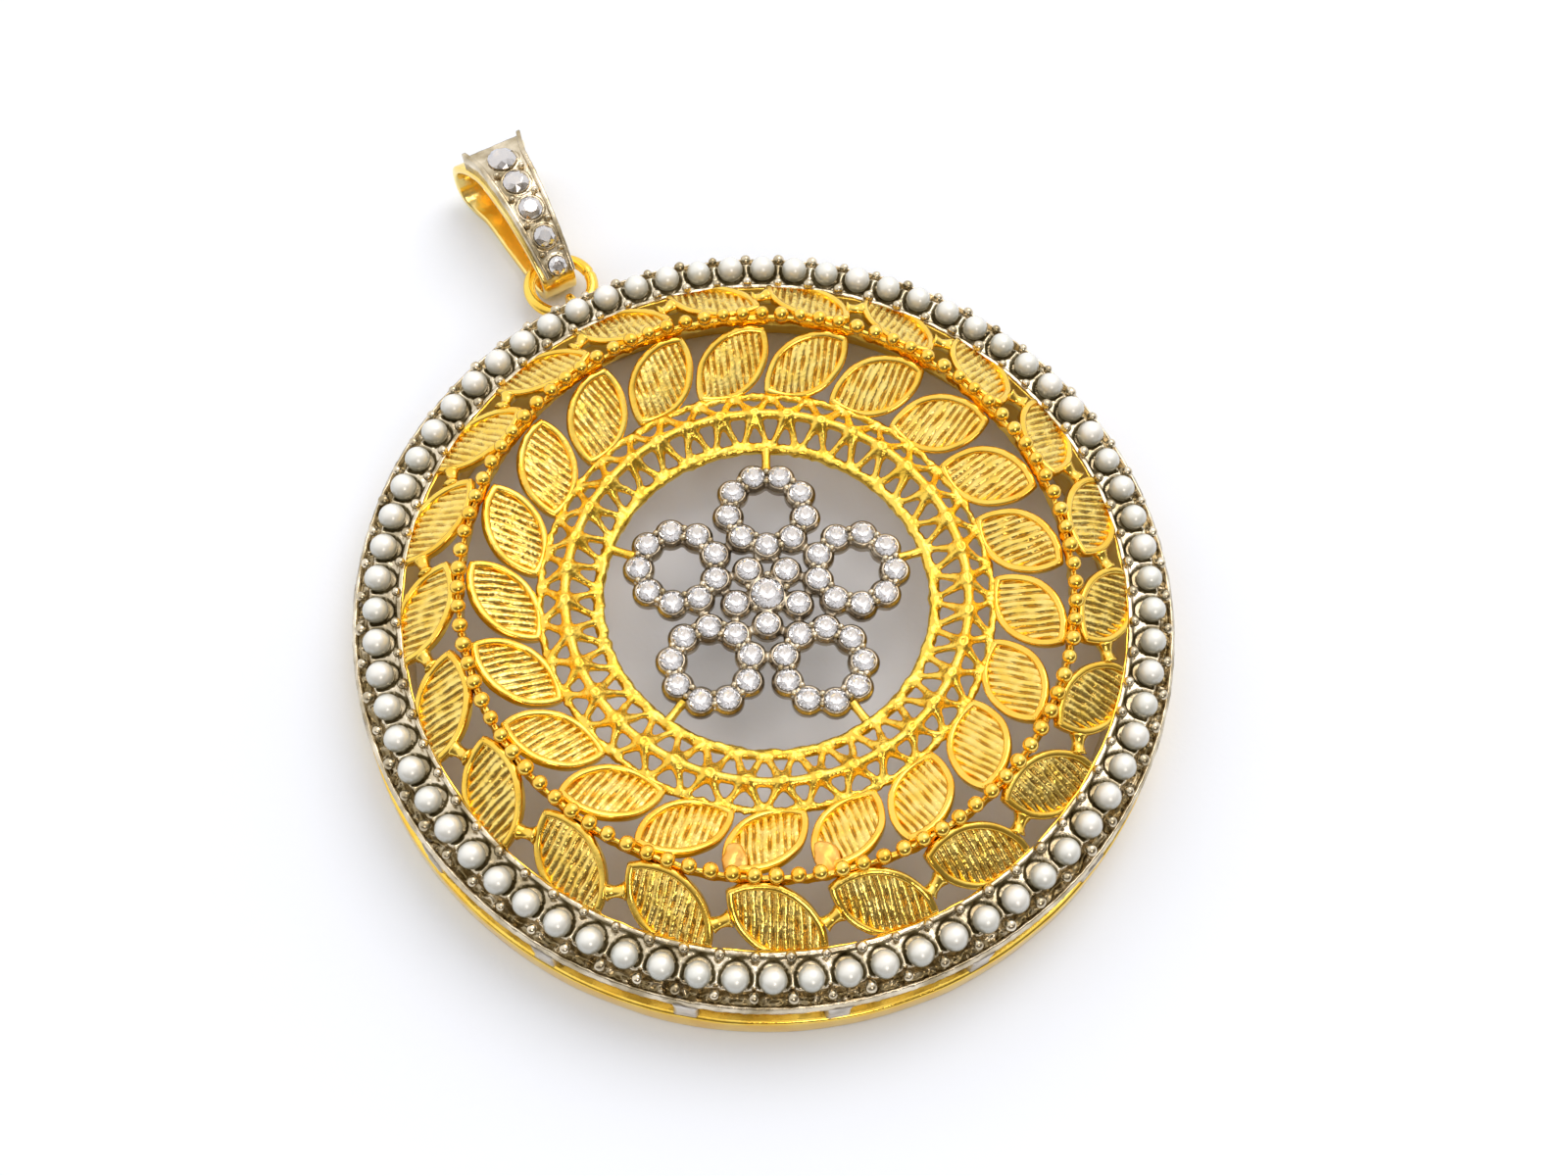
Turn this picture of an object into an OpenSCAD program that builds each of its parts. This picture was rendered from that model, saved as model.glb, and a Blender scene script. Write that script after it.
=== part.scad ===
// Openwork medallion pendant with a pearl rim, two rows of leaves, a lattice
// and a stone-set bail on a jump ring. It lies on its back: the disc is centred
// on Z with its back on Z = 0, and the bail points along +Y. Millimetres.

/* [Pearl rim] */
// Radius of the circle through the pearl centres
pearl_ring_r = 19; // [18:0.1:21]
// Diameter of one seed pearl
pearl_d = 1.3; // [1.1:0.05:1.5]
// Gap between neighbouring pearls
pearl_gap = 0.4; // [0.35:0.01:0.6]
// Height of the pearl centres above the channel floor
pearl_lift = 0.2; // [0.15:0.05:0.4]
// Width of the channel inside the pearl circle
channel_in_w = 1.25; // [1:0.05:1.6]
// Width of the channel outside the pearl circle
channel_out_w = 1.35; // [1.3:0.05:1.5]
// Thickness of the channel floor
channel_t = 1.25; // [1.2:0.05:1.5]
// Width of the channel's inner lip
lip_w = 0.22; // [0.15:0.01:0.25]
// Height of the inner lip above the channel floor
lip_h = 0.35; // [0.2:0.05:0.6]
// Depth of the outer ledge below the channel floor
ledge_drop = 0.6; // [0.55:0.05:0.8]
// Width of the outer ledge
ledge_w = 0.6; // [0.55:0.05:0.65]
// Width of the bevel outside the ledge
bevel_w = 0.45; // [0.4:0.05:0.55]
// Height of the channel's edge below the bevel
edge_h = 0.2; // [0.1:0.05:0.4]
// Diameter of one grain beside the pearls
grain_d = 0.42; // [0.3:0.02:0.46]
// Height of the straight part of a grain
grain_h = 0.25; // [0.1:0.05:0.4]

/* [Rim walls] */
// Thickness of the flat ring at the back
base_t = 0.6; // [0.4:0.1:1]
// Height of the plain outer band
band_h = 0.9; // [0.8:0.1:1.1]
// Thickness of the outer band
band_t = 0.9; // [0.85:0.05:1.1]
// How far the wall flares out from the channel to the back
wall_flare = 0.1; // [0.05:0.05:0.3]
// Height of the open gallery under the channel
gallery_h = 1.5; // [1:0.1:2]
// Width of one gallery post
post_w = 1.1; // [0.6:0.1:1.4]
// Thickness of one gallery post
post_t = 0.5; // [0.3:0.05:0.6]
// Number of gallery posts
post_count = 18; // [12:1:24]
// Thickness of the inner wall of the rim
inner_wall_t = 0.4; // [0.3:0.05:0.6]

/* [Bead row] */
// Radius of the circle through the bead centres
bead_ring_r = 14.8; // [14.2:0.1:15.4]
// Diameter of one bead
bead_d = 0.64; // [0.5:0.02:0.8]
// Gap between neighbouring beads
bead_gap = 0.345; // [0.2:0.005:0.5]
// Depth of the flat that a bead sits on
bead_sink = 0.08; // [0.04:0.01:0.12]
// Height of the rail top above the channel floor
crest_rise = 2.1; // [1.6:0.1:2.6]
// Width of the rail under the beads
rail_w = 0.6; // [0.4:0.05:0.7]
// Height of the rail under the beads
rail_h = 0.58; // [0.4:0.02:0.7]

/* [Leaf rows] */
// Number of leaves in each row
leaf_count = 21; // [18:1:24]
// Width of an outer leaf
outer_leaf_w = 3; // [2.6:0.05:3.2]
// Width of an inner leaf
inner_leaf_w = 2.8; // [2.4:0.05:2.9]
// Angle from end to end of an outer leaf, in leaf pitches
outer_leaf_turn = 0.93; // [0.85:0.01:1]
// Angle from end to end of an inner leaf, in leaf pitches
inner_leaf_turn = 1; // [0.9:0.05:1.05]
// Gap between the crest and the tips of the outer leaves
outer_leaf_gap = 0.25; // [0.1:0.05:0.4]
// Width filed off the outer leaves where they meet the rim
outer_leaf_trim = 0.2; // [0.1:0.05:0.3]
// Width of the wire round a leaf
leaf_wire_w = 0.28; // [0.2:0.02:0.36]
// Height of the wire round a leaf
leaf_wire_h = 0.5; // [0.4:0.05:0.6]
// Thickness of a leaf blade in the grooves between its ridges
blade_t = 0.16; // [0.1:0.02:0.24]
// Height of the ridges on a blade
ridge_h = 0.14; // [0.06:0.02:0.2]
// Distance between ridges on a blade
ridge_pitch = 0.36; // [0.24:0.02:0.5]
// Diameter of the pins that tie the outer leaves together
pin_d = 0.3; // [0.2:0.02:0.4]

/* [Lattice] */
// Radius of the outer wire
lattice_outer_r = 11.1; // [10.9:0.05:11.3]
// Radius of the middle wire
lattice_middle_r = 9.85; // [9.7:0.05:10]
// Radius of the inner wire
lattice_inner_r = 8.25; // [8.1:0.05:8.4]
// Height of the outer wire above the channel floor
lattice_outer_rise = 0.2; // [0:0.05:0.5]
// Height of the middle wire above the channel floor
lattice_middle_rise = 0.65; // [0.4:0.05:0.8]
// Height of the inner wire above the channel floor
lattice_inner_rise = -0.1; // [-0.3:0.05:0.2]
// Diameter of the three wires
lattice_wire_d = 0.36; // [0.3:0.02:0.4]
// Diameter of the zigzag wire
zigzag_d = 0.28; // [0.2:0.02:0.32]
// Number of points of each zigzag
zigzag_count = 36; // [30:1:40]

/* [Stone motif] */
// Number of petals of the blossom
petal_count = 5; // [5:1:6]
// Stones round one petal
petal_stones = 9; // [8:1:9]
// Distance from the middle of the blossom to the middle of a petal
petal_reach = 4.6; // [4.5:0.05:4.8]
// Radius of the stone circle of one petal
petal_r = 1.95; // [1.9:0.05:2.1]
// Diameter of one small stone
stone_d = 1.12; // [1:0.02:1.2]
// Diameter of the centre stone
centre_stone_d = 1.6; // [1.3:0.05:1.7]
// Distance from the centre stone to the stones between the petals
heart_r = 1.6; // [1.5:0.05:1.7]
// Width of the plate beyond each stone
plate_margin = 0.3; // [0.28:0.01:0.36]
// Thickness of the plate
plate_t = 0.5; // [0.4:0.05:0.8]
// Diameter of one claw grain on the plate
claw_d = 0.3; // [0.2:0.02:0.32]
// Diameter of the struts from the petals to the inner wire
strut_d = 0.42; // [0.3:0.02:0.46]

/* [Stone shape] */
// Height of the girdle above its seat
girdle_lift = 0.14; // [0.1:0.01:0.2]
// Thickness of the girdle
girdle_t = 0.06; // [0.04:0.01:0.1]
// Crown height, as a share of the stone's diameter
crown_share = 0.2; // [0.12:0.01:0.3]
// Table width, as a share of the stone's diameter
table_share = 0.56; // [0.4:0.01:0.7]
// Pavilion depth, as a share of the stone's diameter
pavilion_share = 0.42; // [0.35:0.01:0.45]

/* [Jump ring] */
// Radius of the jump ring at the middle of its wire
jump_ring_r = 1.72; // [1.65:0.01:1.9]
// Diameter of the jump ring's wire
jump_wire_d = 0.65; // [0.5:0.05:0.7]
// Distance from the band to the middle of the eye's hole
eye_out = 0.6; // [0.6:0.01:0.75]
// Height of the eye's hole above the back
eye_z = 1.3; // [1.2:0.05:1.4]
// Diameter of the eye's wire
eye_wire_d = 0.45; // [0.35:0.05:0.5]
// Play between the jump ring and the eye
link_play = 0.15; // [0.1:0.01:0.2]

/* [Bail] */
// Outer radius of the bend at the jump ring
bail_end_r = 1.25; // [1.25:0.01:1.4]
// Outer radius of the bend at the chain
bail_top_r = 2; // [1.8:0.05:2.2]
// Distance between the two bends
bail_reach = 5.85; // [5.5:0.05:7]
// Distance of the lower bend inside the jump ring's wire
bail_slack = 0.6; // [0.4:0.05:0.7]
// Thickness of the bail's strip
bail_t = 0.45; // [0.35:0.05:0.45]
// Radius of the bow of the bail's front
bow_r = 7.7; // [7:0.1:12]
// Thickness of the stone-set face
face_t = 0.8; // [0.7:0.05:0.9]
// Width of the bail at the jump ring
bail_end_w = 1.75; // [1.6:0.05:1.9]
// Width of the bail at the chain
bail_top_w = 3.4; // [3.2:0.05:3.8]
// Step from the loop's edge in to the face's edge
face_step = 0.1; // [0.05:0.01:0.12]
// Width of the face's side lips
face_lip_w = 0.2; // [0.15:0.01:0.24]
// Height of the face's side lips
face_lip_h = 0.18; // [0.1:0.02:0.3]
// Number of stones on the face
bail_stone_count = 5; // [3:1:5]
// Diameter of the stone nearest the chain
bail_stone_top_d = 1.55; // [1.3:0.05:1.6]
// Diameter of the stone nearest the jump ring
bail_stone_end_d = 1; // [0.9:0.05:1.05]
// Angle that the stone row spans round the bow
stone_row_angle = 46; // [44:1:48]
// Diameter of one grain on the face
face_grain_d = 0.32; // [0.2:0.02:0.34]

/* [Fit] */
// Gap left for solder between pieces that meet on curved faces
solder_gap = 0.03; // [0.02:0.01:0.06]

/* [Hidden] */
$fn = 40;

// Heights of the rim, from the back up
band_top = base_t + band_h;
channel_bottom = band_top + gallery_h;
channel_top = channel_bottom + channel_t;

// Radii of the rim and the number of pearls that go round it
channel_outer_r = pearl_ring_r + channel_out_w;
rim_inner_r = pearl_ring_r - channel_in_w;
pearl_count = floor(2 * PI * pearl_ring_r / (pearl_d + pearl_gap));
pearl_turn = 360 / pearl_count;
grain_inset = grain_d / 2 + solder_gap;

// The channel's outer ledge and the two circles of grains
ledge_out_r = channel_outer_r - bevel_w;
ledge_in_r = ledge_out_r - ledge_w;
ledge_z = channel_top - ledge_drop;
inner_grain_r = rim_inner_r + lip_w + grain_inset;
outer_grain_r = ledge_out_r - grain_inset;

// Turns of the ornament from the bail, as the rows lie round the disc
pearl_phase = 92.1;
bead_phase = 0.5;
outer_leaf_phase = 1.3;
inner_leaf_phase = 1.2;
lattice_phase = 4.5;
motif_phase = 60.9;

// The crest that carries the beads
rail_top = channel_top + crest_rise;
crest_in_r = bead_ring_r - rail_w / 2;
crest_out_r = bead_ring_r + max(rail_w, bead_d) / 2;
bead_count = floor(2 * PI * bead_ring_r / (bead_d + bead_gap));
bead_lift = bead_d / 2 - bead_sink;

// Ends of the leaves: each pair is the end nearer the centre, then the other end
leaf_turn = 360 / leaf_count;
outer_leaf_in = polar(crest_out_r + outer_leaf_gap, -outer_leaf_turn * leaf_turn / 2,
    rail_top - (leaf_wire_h + outer_leaf_gap) / 2);
outer_leaf_out = polar(rim_inner_r + outer_leaf_trim, outer_leaf_turn * leaf_turn / 2,
    channel_top + leaf_wire_h / 2);
lattice_outer_z = channel_top + lattice_outer_rise;
lattice_middle_z = channel_top + lattice_middle_rise;
lattice_inner_z = channel_top + lattice_inner_rise;
lattice_rim_r = lattice_outer_r + lattice_wire_d / 2 + solder_gap;
inner_leaf_in = polar(lattice_rim_r, inner_leaf_turn * leaf_turn / 2, lattice_outer_z);
inner_leaf_out = polar(crest_in_r - solder_gap, -inner_leaf_turn * leaf_turn / 2, rail_top - rail_h);

// The pins between neighbouring outer leaves, half way along their overlap
outer_leaf_x = unit(outer_leaf_out - outer_leaf_in);
outer_leaf_mid = (outer_leaf_in + outer_leaf_out) / 2;
pin_along = (turned(outer_leaf_mid, leaf_turn) - outer_leaf_mid) * outer_leaf_x / 2;
pin_inset = pin_d / 2 + solder_gap;

// The blossom: half the plate's width between two stones, and where the claws stand on it
plate_r = stone_d / 2 + plate_margin;
petal_waist_r = petal_r * cos(180 / petal_stones);
waist_half = sqrt(pow(plate_r, 2) - pow(petal_r * sin(180 / petal_stones), 2));
claw_offset = waist_half - claw_d / 2 - solder_gap;
plate_z = lattice_inner_z - plate_t / 2;
plate_top = plate_z + plate_t;

// The link between the disc and the bail
eye_y = wall_r(eye_z) + eye_out;
eye_hole_r = jump_wire_d / 2 + link_play;
ring_y = eye_y + jump_ring_r;
link_y = ring_y + jump_ring_r;

// Centres of the bail's bends and of its bow, as [y, z]
end_c = [link_y - bail_slack, bail_end_r];
top_c = [end_c[0] + bail_reach, bail_top_r];
bow_c = circle_meet(end_c, bow_r - bail_end_r, top_c, bow_r - bail_top_r);
face_r = bow_r + face_t;
end_angle = atan2(end_c[1] - bow_c[1], end_c[0] - bow_c[0]);
top_angle = atan2(top_c[1] - bow_c[1], top_c[0] - bow_c[0]);
bail_start_y = end_c[0] - bail_end_r;
bail_stop_y = top_c[0] + bail_top_r;
row_start = (end_angle + top_angle - stone_row_angle) / 2;

// Outer radius of the flared wall at height z
function wall_r(z) = channel_outer_r + wall_flare * (1 - z / channel_bottom);

// A point at radius r, angle a and height z
function polar(r, a, z = 0) = [r * cos(a), r * sin(a), z];

// Unit vector of v
function unit(v) = v / norm(v);

// The meeting point, below the line from p to q, of a circle round each
function circle_meet(p, r_p, q, r_q) =
    let (
        d = norm(q - p),
        along = (r_p * r_p - r_q * r_q + d * d) / (2 * d),
        down = sqrt(r_p * r_p - along * along),
        e = (q - p) / d
    )
    p + along * e + down * [e[1], -e[0]];

// Point p turned round the Z axis
function turned(p, a) =
    [p[0] * cos(a) - p[1] * sin(a), p[0] * sin(a) + p[1] * cos(a), p[2]];

// Radius of the two arcs of a leaf outline, and its half width at x from the middle
function leaf_arc_r(length, width) = (length * length + width * width) / (4 * width);
function leaf_half_w(length, width, x) =
    let (r = leaf_arc_r(length, width)) sqrt(r * r - x * x) - r + width / 2;

// Point on the edge of a leaf with ends a and b, at x from its middle
function leaf_edge(a, b, width, x, side) =
    let (
        d = b - a,
        along = unit(d),
        across = cross(unit([-d[2], 0, d[0]]), along)
    )
    (a + b) / 2 + x * along + side * leaf_half_w(norm(d), width, x) * across;

// Diameter of the hole that a stone of diameter d sits on
function seat_d(d) = d * (1 - girdle_lift / (pavilion_share * d)) + 2 * solder_gap;

// Diameter and angle round the bow of face stone k, counted from the chain
function face_stone_d(k) =
    bail_stone_top_d + (bail_stone_end_d - bail_stone_top_d) * k / (bail_stone_count - 1);
function face_stone_angle(k) = row_start + stone_row_angle * k / (bail_stone_count - 1);

// Copies of a piece evenly round the Z axis
module around(count, phase = 0) {
    for (i = [0 : count - 1]) {
        rotate([0, 0, phase + i * 360 / count]) children();
    }
}

// Flat ring between two radii
module flat_ring(r_in, r_out, z, h) {
    rotate_extrude() translate([r_in, z]) square([r_out - r_in, h]);
}

// Ring inside the flared wall, between two heights
module wall_ring(r_in, z, h) {
    rotate_extrude() polygon([
        [r_in, z],
        [wall_r(z), z],
        [wall_r(z + h), z + h],
        [r_in, z + h]
    ]);
}

// Round wire bent to a circle
module wire_ring(r, z, d) {
    translate([0, 0, z]) rotate_extrude() translate([r, 0]) circle(d = d);
}

// Round rod from p to q
module rod(p, q, d) {
    v = q - p;
    translate(p) rotate([0, acos(v[2] / norm(v)), atan2(v[1], v[0])]) cylinder(d = d, h = norm(v));
}

// Upright grain of metal with a round head
module grain(d, h) {
    rotate_extrude() union() {
        square([d / 2, h]);
        translate([0, h]) intersection() {
            circle(d = d);
            square(d);
        }
    }
}

// Round cut stone, with its seat on Z = 0
module stone(d) {
    translate([0, 0, girdle_lift]) rotate_extrude() polygon([
        [0, -pavilion_share * d],
        [d / 2, 0],
        [d / 2, girdle_t],
        [table_share * d / 2, girdle_t + crown_share * d],
        [0, girdle_t + crown_share * d]
    ]);
}

// Moves a leaf from the origin to lie between its ends a and b
module on_leaf(a, b) {
    d = b - a;
    translate((a + b) / 2) rotate([0, atan2(-d[2], d[0]), 0])
        rotate([0, 0, atan2(d[1], norm([d[0], d[2]]))]) children();
}

// Pointed leaf outline along X, drawn in by an inset
module leaf_outline(length, width, inset = 0) {
    r = leaf_arc_r(length, width);
    intersection() {
        translate([0, r - width / 2]) circle(r = r - inset);
        translate([0, width / 2 - r]) circle(r = r - inset);
    }
}

// Wire round one leaf
module leaf_frame(length, width) {
    translate([0, 0, -leaf_wire_h / 2]) linear_extrude(leaf_wire_h) difference() {
        leaf_outline(length, width);
        leaf_outline(length, width, leaf_wire_w);
    }
}

// Blade of one leaf, with ridges that run at an angle to its length
module leaf_blade(length, width, ridge_angle) {
    half = ceil(length / 2 / ridge_pitch);
    ridges = [for (i = [-half : half - 1]) each [
        [i * ridge_pitch, blade_t],
        [(i + 0.5) * ridge_pitch, blade_t + ridge_h]
    ]];
    section = concat(
        [[-half * ridge_pitch, 0]], ridges, [[half * ridge_pitch, blade_t], [half * ridge_pitch, 0]]
    );
    translate([0, 0, -leaf_wire_h / 2]) intersection() {
        linear_extrude(leaf_wire_h) leaf_outline(length, width, leaf_wire_w + solder_gap);
        rotate([0, 0, ridge_angle]) rotate([90, 0, 90])
            linear_extrude(2 * length, center = true) polygon(section);
    }
}

// The outer leaves, cut to the crest and to the rim that they are soldered between
module outer_leaves() {
    intersection() {
        around(leaf_count, outer_leaf_phase) on_leaf(outer_leaf_in, outer_leaf_out) children();
        flat_ring(crest_out_r + solder_gap, rim_inner_r - solder_gap, channel_bottom, 2 * crest_rise);
    }
}

// The inner leaves, cut to the lattice wire and the crest that they are soldered between
module inner_leaves() {
    intersection() {
        around(leaf_count, inner_leaf_phase) on_leaf(inner_leaf_in, inner_leaf_out) children();
        flat_ring(lattice_rim_r, crest_in_r - solder_gap, channel_bottom, 2 * crest_rise);
    }
}

// One leg of a zigzag, from an inner to an outer lattice wire
module zigzag_leg(r_in, z_in, r_out, z_out, side) {
    foot_turn = (zigzag_d / 2 + solder_gap) * 180 / PI;
    half_turn = 180 / zigzag_count;
    p = polar(r_in, side * foot_turn / r_in, z_in);
    q = polar(r_out, side * (half_turn - foot_turn / r_out), z_out);
    along = unit(q - p);
    slant = abs(along[1]);
    reach = (lattice_wire_d / 2 + solder_gap + zigzag_d / 2 * slant) / sqrt(1 - slant * slant);
    rod(p + reach * along, q - reach * along, zigzag_d);
}

// A ring of zigzag legs
module zigzag(r_in, z_in, r_out, z_out, phase) {
    around(zigzag_count, phase) {
        zigzag_leg(r_in, z_in, r_out, z_out, 1);
        zigzag_leg(r_in, z_in, r_out, z_out, -1);
    }
}

// Places each stone round the petals
module each_petal_stone() {
    around(petal_count, motif_phase) translate([petal_reach, 0, 0])
        around(petal_stones, 180) translate([petal_r, 0, 0]) children();
}

// Places each stone between the petals, round the centre stone
module each_heart_stone() {
    around(petal_count, motif_phase + 180 / petal_count) translate([heart_r, 0, 0]) children();
}

// Side view of the bail, shrunk by an inset: a flat back, two bends and a bowed front
module bail_side(inset) {
    translate(end_c) circle(r = bail_end_r - inset);
    translate(top_c) circle(r = bail_top_r - inset);
    polygon([
        [end_c[0], inset],
        [top_c[0], inset],
        top_c,
        end_c
    ]);
    intersection() {
        translate(bow_c) circle(r = bow_r - inset);
        polygon([
            end_c,
            top_c,
            bow_c + 2 * bow_r * [cos(top_angle), sin(top_angle)],
            bow_c + 2 * bow_r * [cos(end_angle), sin(end_angle)]
        ]);
    }
}

// Part of a ring round the bow, between the ends of the face
module bow_side(r_in, r_out) {
    intersection() {
        translate(bow_c) difference() {
            circle(r = r_out);
            circle(r = r_in);
        }
        polygon([
            bow_c,
            bow_c + 2 * bow_r * [cos(top_angle), sin(top_angle)],
            bow_c + 2 * bow_r * [cos(end_angle), sin(end_angle)]
        ]);
    }
}

// Turns a side view in Y and Z into a solid as wide as the bail
module bail_wide() {
    rotate([90, 0, 90]) linear_extrude(2 * bail_top_w, center = true) children();
}

// Tapered outline of the bail from above, drawn in by an inset at the sides
module bail_taper(inset = 0) {
    end_half = bail_end_w / 2 - inset;
    top_half = bail_top_w / 2 - inset;
    translate([0, 0, -bow_r]) linear_extrude(3 * bow_r) polygon([
        [-end_half, bail_start_y - face_t],
        [end_half, bail_start_y - face_t],
        [top_half, bail_stop_y],
        [-top_half, bail_stop_y]
    ]);
}

// Moves a piece onto the face, at an angle round the bow and off to one side
module on_face(angle, side = 0) {
    translate([side, bow_c[0] + face_r * cos(angle), bow_c[1] + face_r * sin(angle)])
        rotate([angle - 90, 0, 0]) children();
}

module rim_base_ring() {
    color("goldenrod") wall_ring(rim_inner_r, 0, base_t);
}

module rim_outer_band() {
    color("goldenrod") wall_ring(wall_r(base_t) - band_t, base_t, band_h);
}

// One post stands over the eye
module gallery_posts() {
    color("silver") around(post_count, 90)
        translate([channel_outer_r - post_t - solder_gap, -post_w / 2, band_top])
            cube([post_t, post_w, gallery_h]);
}

module rim_inner_wall() {
    color("gold")
        flat_ring(rim_inner_r, rim_inner_r + inner_wall_t, base_t, channel_bottom - base_t);
}

// Channel with an inner lip, a round seat for each pearl and a low bevelled ledge outside
module pearl_channel() {
    color("silver") difference() {
        rotate_extrude() polygon([
            [rim_inner_r, channel_bottom],
            [channel_outer_r, channel_bottom],
            [channel_outer_r, channel_bottom + edge_h],
            [ledge_out_r, ledge_z],
            [ledge_in_r, ledge_z],
            [ledge_in_r, channel_top],
            [rim_inner_r + lip_w, channel_top],
            [rim_inner_r + lip_w, channel_top + lip_h],
            [rim_inner_r, channel_top + lip_h]
        ]);
        around(pearl_count, pearl_phase)
            translate([pearl_ring_r, 0, channel_top + pearl_lift]) sphere(d = pearl_d + 2 * solder_gap);
    }
}

module seed_pearls() {
    color("white") around(pearl_count, pearl_phase)
        translate([pearl_ring_r, 0, channel_top + pearl_lift]) sphere(d = pearl_d);
}

// Two grains between each pair of pearls
module pearl_grains() {
    color("gainsboro") around(pearl_count, pearl_phase + pearl_turn / 2) {
        translate([inner_grain_r, 0, channel_top]) grain(grain_d, grain_h);
        translate([outer_grain_r, 0, ledge_z]) grain(grain_d, grain_h);
    }
}

module outer_leaf_frames() {
    color("gold") outer_leaves() leaf_frame(norm(outer_leaf_out - outer_leaf_in), outer_leaf_w);
}

// The ridges lie along the slope, so they run from the centre outwards
module outer_leaf_blades() {
    d = outer_leaf_out - outer_leaf_in;
    color("khaki") outer_leaves()
        leaf_blade(norm(d), outer_leaf_w, -atan2(d[1], norm([d[0], d[2]])));
}

// A short pin across the gap to the next outer leaf
module outer_leaf_pins() {
    p = leaf_edge(outer_leaf_in, outer_leaf_out, outer_leaf_w, pin_along, 1);
    q = turned(leaf_edge(outer_leaf_in, outer_leaf_out, outer_leaf_w, -pin_along, -1), leaf_turn);
    reach = pin_inset * unit(q - p);
    color("gold") around(leaf_count, outer_leaf_phase) rod(p + reach, q - reach, pin_d);
}

module bead_rail() {
    color("gold")
        flat_ring(bead_ring_r - rail_w / 2, bead_ring_r + rail_w / 2, rail_top - rail_h, rail_h);
}

// Each bead has a small flat where it sits on the rail
module bead_row() {
    color("khaki") around(bead_count, bead_phase)
        translate([bead_ring_r, 0, rail_top + bead_lift]) rotate_extrude() intersection() {
            circle(d = bead_d);
            translate([0, -bead_lift]) square(bead_d);
        }
}

module inner_leaf_frames() {
    color("gold") inner_leaves() leaf_frame(norm(inner_leaf_out - inner_leaf_in), inner_leaf_w);
}

module inner_leaf_blades() {
    d = inner_leaf_out - inner_leaf_in;
    color("khaki") inner_leaves()
        leaf_blade(norm(d), inner_leaf_w, -atan2(d[1], norm([d[0], d[2]])));
}

module lattice_outer_wire() {
    color("goldenrod") wire_ring(lattice_outer_r, lattice_outer_z, lattice_wire_d);
}

module lattice_outer_zigzag() {
    color("gold")
        zigzag(lattice_middle_r, lattice_middle_z, lattice_outer_r, lattice_outer_z, lattice_phase);
}

module lattice_middle_wire() {
    color("goldenrod") wire_ring(lattice_middle_r, lattice_middle_z, lattice_wire_d);
}

// Its points meet those of the outer zigzag on the middle wire
module lattice_inner_zigzag() {
    color("gold") zigzag(lattice_inner_r, lattice_inner_z, lattice_middle_r, lattice_middle_z,
        lattice_phase + 180 / zigzag_count);
}

module lattice_inner_wire() {
    color("goldenrod") wire_ring(lattice_inner_r, lattice_inner_z, lattice_wire_d);
}

// Struts from the waist at the tip of each petal to the inner wire, cut to the plate's scallops
module motif_struts() {
    waist = petal_reach + petal_waist_r;
    wire = lattice_inner_r - lattice_wire_d / 2 - solder_gap;
    color("gold") around(petal_count, motif_phase) difference() {
        rod([waist, 0, lattice_inner_z], [wire, 0, lattice_inner_z], strut_d);
        translate([petal_reach, 0, plate_z - plate_t]) for (side = [-1, 1]) {
            rotate([0, 0, side * 180 / petal_stones]) translate([petal_r, 0, 0])
                cylinder(r = plate_r + solder_gap, h = 3 * plate_t);
        }
    }
}

// Scalloped plate under the stones, drilled behind each one
module motif_plate() {
    color("silver") translate([0, 0, plate_z]) linear_extrude(plate_t) difference() {
        union() {
            circle(d = centre_stone_d + 2 * plate_margin);
            each_petal_stone() circle(r = plate_r);
            each_heart_stone() circle(r = plate_r);
        }
        circle(d = seat_d(centre_stone_d));
        each_petal_stone() circle(d = seat_d(stone_d));
        each_heart_stone() circle(d = seat_d(stone_d));
    }
}

// Two grains in each waist of a petal, and a ring of them round the centre stone
module motif_claws() {
    color("gainsboro") translate([0, 0, plate_top]) around(petal_count, motif_phase) {
        translate([petal_reach, 0, 0]) around(petal_stones, 180 + 180 / petal_stones)
            for (side = [-1, 1]) {
                translate([petal_waist_r + side * claw_offset, 0, 0])
                    grain(claw_d, girdle_lift + girdle_t);
            }
        translate([(centre_stone_d + claw_d) / 2 + solder_gap, 0, 0])
            grain(claw_d, girdle_lift + girdle_t);
    }
}

module motif_stones() {
    color("azure") translate([0, 0, plate_top]) {
        stone(centre_stone_d);
        each_petal_stone() stone(stone_d);
        each_heart_stone() stone(stone_d);
    }
}

// Eye soldered to the band, cut to the band's curve
module hanging_eye() {
    color("gold") difference() {
        translate([0, eye_y, eye_z]) rotate([0, 90, 0])
            rotate_extrude() translate([eye_hole_r + eye_wire_d / 2, 0]) circle(d = eye_wire_d);
        cylinder(r1 = wall_r(0), r2 = wall_r(channel_bottom), h = channel_bottom);
    }
}

module jump_ring() {
    color("gold") translate([0, ring_y, 0]) wire_ring(jump_ring_r, eye_z, jump_wire_d);
}

module bail_loop() {
    color("goldenrod") intersection() {
        bail_wide() difference() {
            bail_side(0);
            bail_side(bail_t);
        }
        bail_taper();
    }
}

// Bowed plate with raised side lips and a hole behind each stone
module bail_face() {
    color("silver") difference() {
        intersection() {
            bail_wide() bow_side(bow_r, face_r + face_lip_h);
            bail_taper(face_step);
        }
        intersection() {
            bail_wide() bow_side(face_r, face_r + 2 * face_lip_h);
            bail_taper(face_step + face_lip_w);
        }
        for (k = [0 : bail_stone_count - 1]) {
            on_face(face_stone_angle(k)) translate([0, 0, -2 * face_t])
                cylinder(d = seat_d(face_stone_d(k)), h = 3 * face_t);
        }
    }
}

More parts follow.
